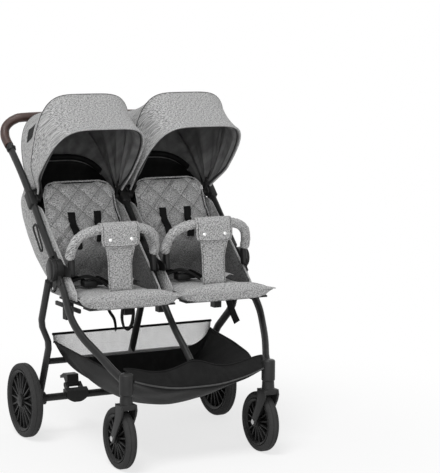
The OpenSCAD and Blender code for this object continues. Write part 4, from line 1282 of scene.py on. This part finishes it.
# %% Basket bag
# Share of the way back, place from front to back, height in the middle and at the sides, half width
BAG_ROWS = ((0, -259, 304, 307, 236), (0.05, -276, 284, 300, 230), (0.1, -296, 254, 284, 222),
            (0.135, -304, 240, 277, 219.5), (0.165, -300, 229, 268, 219), (0.2, -285, 219, 264, 220),
            (0.3, -234, 191, 274, 225), (0.42, -152, 156, 291, 252), (0.58, -22, 132, 305, 268),
            (0.74, 112, 132, 315, 276), (0.84, 152, 180, 319, 280), (0.92, 156, 220, 319, 281),
            (1, 159, 262, 318, 282))
BAG_CUT = 760


def bag_row(v, k):
    return lookup(v, [(row[0], row[k]) for row in BAG_ROWS])


def bag_soft(v, k):
    """A row's value, eased between its neighbours."""
    return (bag_row(v - 0.03, k) + 2 * bag_row(v, k) + bag_row(v + 0.03, k)) / 4


def bag_spot(u, v):
    across = 2 * u - 1
    steep = mix(2.5, 7, smooth((v - 0.74) / 0.24))
    front = 1 - smooth((v - 0.1) / 0.1)
    rise = abs(across) ** mix(steep, 2.2, front)
    top = 1 - smooth(v / 0.09)
    lift = top * (9 * math.exp(-((across * 5) ** 2)) - 16 * math.sin(math.pi * abs(across)) ** 2)
    crease = 3 * math.sin(across * 9 + v * 14) * math.sin(math.pi * v) * (1 - front) * (1 - abs(across) ** 6)
    height = mix(bag_soft(v, 2), bag_soft(v, 3), rise) + lift + crease
    return spot(across * bag_soft(v, 4), bag_soft(v, 1), height)


bag = finished("basket_bag", grid_sheet(96, 90, bag_spot, True), basket_cloth, "black_fabric")
thick(bag, 2.0)
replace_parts(bag, "basket_tub")
declare_sheet(bag, BAG_CUT)
trims = []
for k, edge in ((0, "left"), (1, "right")):
    line = [bag_spot(k, i / 60) for i in range(61)]
    trims.append(corded(f"basket_hem_{edge}", line, 3.2, basket_cloth, "black_fabric"))
line = [bag_spot(i / 60, 0.14) + Vector((0, -0.002, -0.001)) for i in range(61)]
trims.append(corded("basket_front_piping", line, 2.6, piping_cloth, "black_fabric"))
line = [bag_spot(i / 60, 0.0) for i in range(61)]
trims.append(corded("basket_front_hem", line, 2.6, basket_cloth, "black_fabric"))
for piece in [bag] + trims:
    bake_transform(piece)
print("basket", len(bag.data.vertices))

# %% [markdown]
# The mesh starts as a grid cut into triangles, and a wireframe turns its edges into threads. A black hem
# closes it along the top.

# %% Basket mesh
MESH_CELLS = (150, 26)
THREAD = 1.4
HEM_TOP = 344
HEM_Y = 160


def net_spot(u, v):
    """From the bag's back edge up to the rear hem."""
    low = bag_spot(u, 1)
    high = spot((2 * u - 1) * 285, HEM_Y, HEM_TOP)
    return low.lerp(high, v) + Vector((0, 0.006 * math.sin(math.pi * v) * (1 - abs(2 * u - 1) ** 4), 0))


bm = grid_sheet(*MESH_CELLS, net_spot)
bmesh.ops.triangulate(bm, faces=bm.faces, quad_method="ALTERNATE")
net = finished("basket_net", bm, net_cloth, "mesh", "rear_frame")
threads = net.modifiers.new("threads", "WIREFRAME")
threads.thickness = THREAD * MM
threads.use_even_offset = False
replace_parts(net, "basket_mesh")
corded("basket_rear_hem", [spot(x, HEM_Y, HEM_TOP) for x in range(-286, 287, 22)], 4.2, webbing,
       "black_fabric", "rear_frame")
print("net", len(net.data.polygons))

# %% [markdown]
# ## Harness
#
# Black webbing comes out of two slots in each back, runs down over the pad and ends in a loose heap with its
# buckle on the seat. A strap is a narrow sheet: a line of places with a direction across it. The shoulder
# straps are laid on the pad by looking for its surface, so they follow the quilting.

# %% Harness
def ribbon(name, line, across, width, finish, body):
    """A strap along a line of places in the scene, with its width in millimetres across it."""
    line = curve_through(line, 8)
    across = Vector(across).normalized() * width * MM

    def place(u, v):
        return along(line, v) + across * (u - 0.5)

    slot = "mesh" if finish == label_cloth else "black_fabric"
    piece = finished(name, grid_sheet(4, len(line) - 1, place), finish, slot, body, 60)
    thick(piece, 1.6, 0.0)
    declare_sheet(piece, width)
    return piece


def seat_line(s, *places):
    return [spot(s * SEAT_X + x, y, z) for x, y, z in places]


STRAP_W = 25
# Across the pad, up its slope and above its face
SHOULDER = ((45, 243, -2), (45, 236, 2), (44, 205, 6), (41, 170, 9), (38, 140, 6), (36, 118, 2))
HEAP = (
    ("lap_strap", (0.4, 0.9, 0.25),
     ((-128, 56, 514), (-104, 34, 532), (-70, 10, 546), (-38, -8, 534), (-14, -22, 517))),
    ("crotch_strap", (0.3, 0.8, -0.5),
     ((-122, 82, 518), (-90, 40, 540), (-58, 14, 522), (-28, 26, 538), (4, 4, 520))),
    ("far_strap", (-0.4, 0.9, 0.1), ((126, 60, 513), (92, 44, 520), (54, 22, 522), (20, 4, 518))))
LABELS = (
    ("left", 14, (0.3, 1, 0), ((64, -18, 518), (69, -22, 527), (73, -24, 536))),
    ("right", 24, (-0.5, 0.85, 0.2), ((52, -36, 520), (76, -26, 530), (100, -12, 525))))
for name, s in SIDES.items():
    move = Vector((0 if s > 0 else -2 * SEAT_X * MM, 0, 0))
    for k, edge, down in ((-1, "inner", SHOULDER), (1, "outer", SHOULDER[:-1])):
        line = [on_pad(k * x, z, above) + move for x, z, above in down]
        ribbon(f"shoulder_strap_{edge}_{name}", line, (1, 0, 0), STRAP_W, webbing, f"backrest_{name}")
    for part, lie, places in HEAP:
        ribbon(f"{part}_{name}", seat_line(s, *places), lie, STRAP_W, webbing, "seat_base")
    bm = bmesh.new()
    middle = s * SEAT_X
    rounded_block(bm, (middle - 88, -12, 514), (middle - 40, 24, 534), 6)
    rounded_block(bm, (middle - 44, -6, 518), (middle - 20, 18, 530), 4)
    rounded_block(bm, (middle - 74, -4, 532), (middle - 54, 16, 537), 3)
    finished(f"buckle_{name}", bm, black_moulded, "black_plastic", "seat_base")
for name, width, lie, places in LABELS:
    ribbon(f"label_{name}", seat_line(SIDES[name], *places), lie, width, label_cloth, "seat_base")
print("harness straps", 10)

# %% [markdown]
# A strip of cloth closes the crease between seat and back; its near-black tone is painted shade. Loose ends
# of webbing hang under the seats. A bare black tag is sewn to the rear panel of the left canopy.

# %% Crease, loose ends and tag
CREASE_CUT, TAG_CUT = 268, 34
crease = curve_through([(0, 116, 552), (0, 104, 526), (0, 95, 511), (0, 68, 508)], 6)


def crease_spot(s, u, v):
    _, y, z = along(crease, v)
    return spot(s * SEAT_X + (2 * u - 1) * CREASE_CUT / 2, y, z + 0.8 * math.sin(u * 40) * v)


for name, s in SIDES.items():
    # The strip closes the gap between seat and back; its near-black cloth is painted shade in the crease.
    strip = finished(f"seat_crease_{name}", grid_sheet(48, 18, lambda u, v: crease_spot(s, u, v)),
                     painted_shade_cloth, "grey_fabric")
    thick(strip, SKIN, 0.0)
    declare_sheet(strip, CREASE_CUT)
    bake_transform(strip)
LOOSE_ENDS = (
    ("hanging_loop", 20, (0, 1, 0.1), ((-94, 40, 440), (-98, 40, 398), (-86, 40, 362), (-66, 40, 374),
                                       (-58, 40, 412), (-60, 40, 440))),
    ("hanging_end", 24, (0.9, 0.1, 0.42), ((284, 60, 470), (298, 60, 424), (312, 60, 386), (329, 60, 350))),
    ("thin_strap", 10, (0.7, 0, 0.6), ((-166, 20, 462), (-150, 20, 428), (-134, 20, 402), (-128, 20, 366))))
for part, width, lie, places in LOOSE_ENDS:
    strap = ribbon(part, [spot(*place) for place in places], lie, width, webbing, "seat_base")
    spot(0, places[0][1], places[0][2])
    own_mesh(strap)


def tag_spot(u, v):
    place = panel_spot(-1, MID_TILT, REAR_TILT, mix(0.42, 0.56, v), mix(0.34, 0.72, u))
    return place + (place - spot(-SEAT_X, *CLIP)).normalized() * 0.0016


tag = finished("canopy_tag", grid_sheet(12, 14, tag_spot), webbing, "black_fabric")
thick(tag, 1.2, 0.0)
declare_sheet(tag, TAG_CUT)
canopy_spot(-1, REAR_TILT, 0)
canopy_spot(-1, MID_TILT, 0)
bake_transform(tag)
print("loose ends", len(LOOSE_ENDS))

# %% [markdown]
# ## Mouldings
#
# Small mouldings cover the joints: an oval cap on each main hub, a sleeve where the canopy clips onto the
# tube, a collar at both ends of the grip, a rail along each outer side of the seats and a socket under each
# end of a bumper bar. A wire hook sits on the left tube.

# %% Mouldings
HUB_TURN = Matrix.Rotation(math.radians(-14), 3, "X")
HOOK = ((190, 690), (172, 694), (148, 662), (126, 632), (124, 618), (138, 618), (160, 642), (186, 668),
        (194, 682), (190, 690))
HOOK_X = -333
bm = bmesh.new()
for s in SIDES.values():
    for depth, grow, at in ((12, 1.0, 338), (4, 0.86, 345)):
        disc = bmesh.ops.create_cone(bm, cap_ends=True, segments=64, radius1=MM, radius2=MM,
                                     depth=depth * MM)["verts"]
        bmesh.ops.rotate(bm, verts=disc, cent=(0, 0, 0), matrix=Matrix.Rotation(math.pi / 2, 3, "Y"))
        bmesh.ops.scale(bm, verts=disc, vec=(1, 19 * grow, 38 * grow))
        bmesh.ops.rotate(bm, verts=disc, cent=(0, 0, 0), matrix=HUB_TURN)
        bmesh.ops.translate(bm, verts=disc, vec=spot(s * at, *HUB))
rounded_off(bm, [edge for edge in bm.edges if edge.calc_face_angle(0) > 1], 1.8)
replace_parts(finished("hub_caps", bm, frame_coat, "black_plastic", "rear_frame"), "hub_covers")

bm = bmesh.new()
for s in SIDES.values():
    low, high = sorted((s * 310.3, s * 335))
    rounded_block(bm, (low, CLIP[0] - 17, CLIP[1] - 30), (high, CLIP[0] + 17, CLIP[1] + 30), 6, -45)
    collar = Matrix.Translation(spot(s * FRAME_X, 410, 916)) @ Matrix.Rotation(math.radians(-40), 4, "X")
    bmesh.ops.create_cone(bm, cap_ends=True, segments=32, radius1=14.8 * MM, radius2=15.8 * MM,
                          depth=10 * MM, matrix=collar)
rounded_block(bm, (-15, CLIP[0] - 19, CLIP[1] - 34), (15, CLIP[0] + 15, CLIP[1] + 26), 6, -45)
finished("tube_sleeves", bm, black_moulded, "black_plastic", "push_frame", 30)
hook = curve_through([spot(HOOK_X, y, z) for y, z in HOOK], 6)
corded("carry_hook", hook, 3.2, black_moulded, "black_plastic", "push_frame")

bm = bmesh.new()
for s in SIDES.values():
    low, high = sorted((s * 296, s * 305))
    rounded_block(bm, (low, -92, 450), (high, 92, 464), 3)
finished("side_rails", bm, black_moulded, "black_plastic", "seat_base", 30)

bm = bmesh.new()
for s in SIDES.values():
    for k in (-1, 1):
        x = s * SEAT_X + k * 138
        rounded_block(bm, (x - 8, BUMPER[0] - 9, BUMPER[1] - 11), (x + 8, BUMPER[0] + 13, BUMPER[1] + 44),
                      6, -8)
finished("bumper_sockets", bm, black_moulded, "black_plastic", "bumper", 30)
print("mouldings", 5)
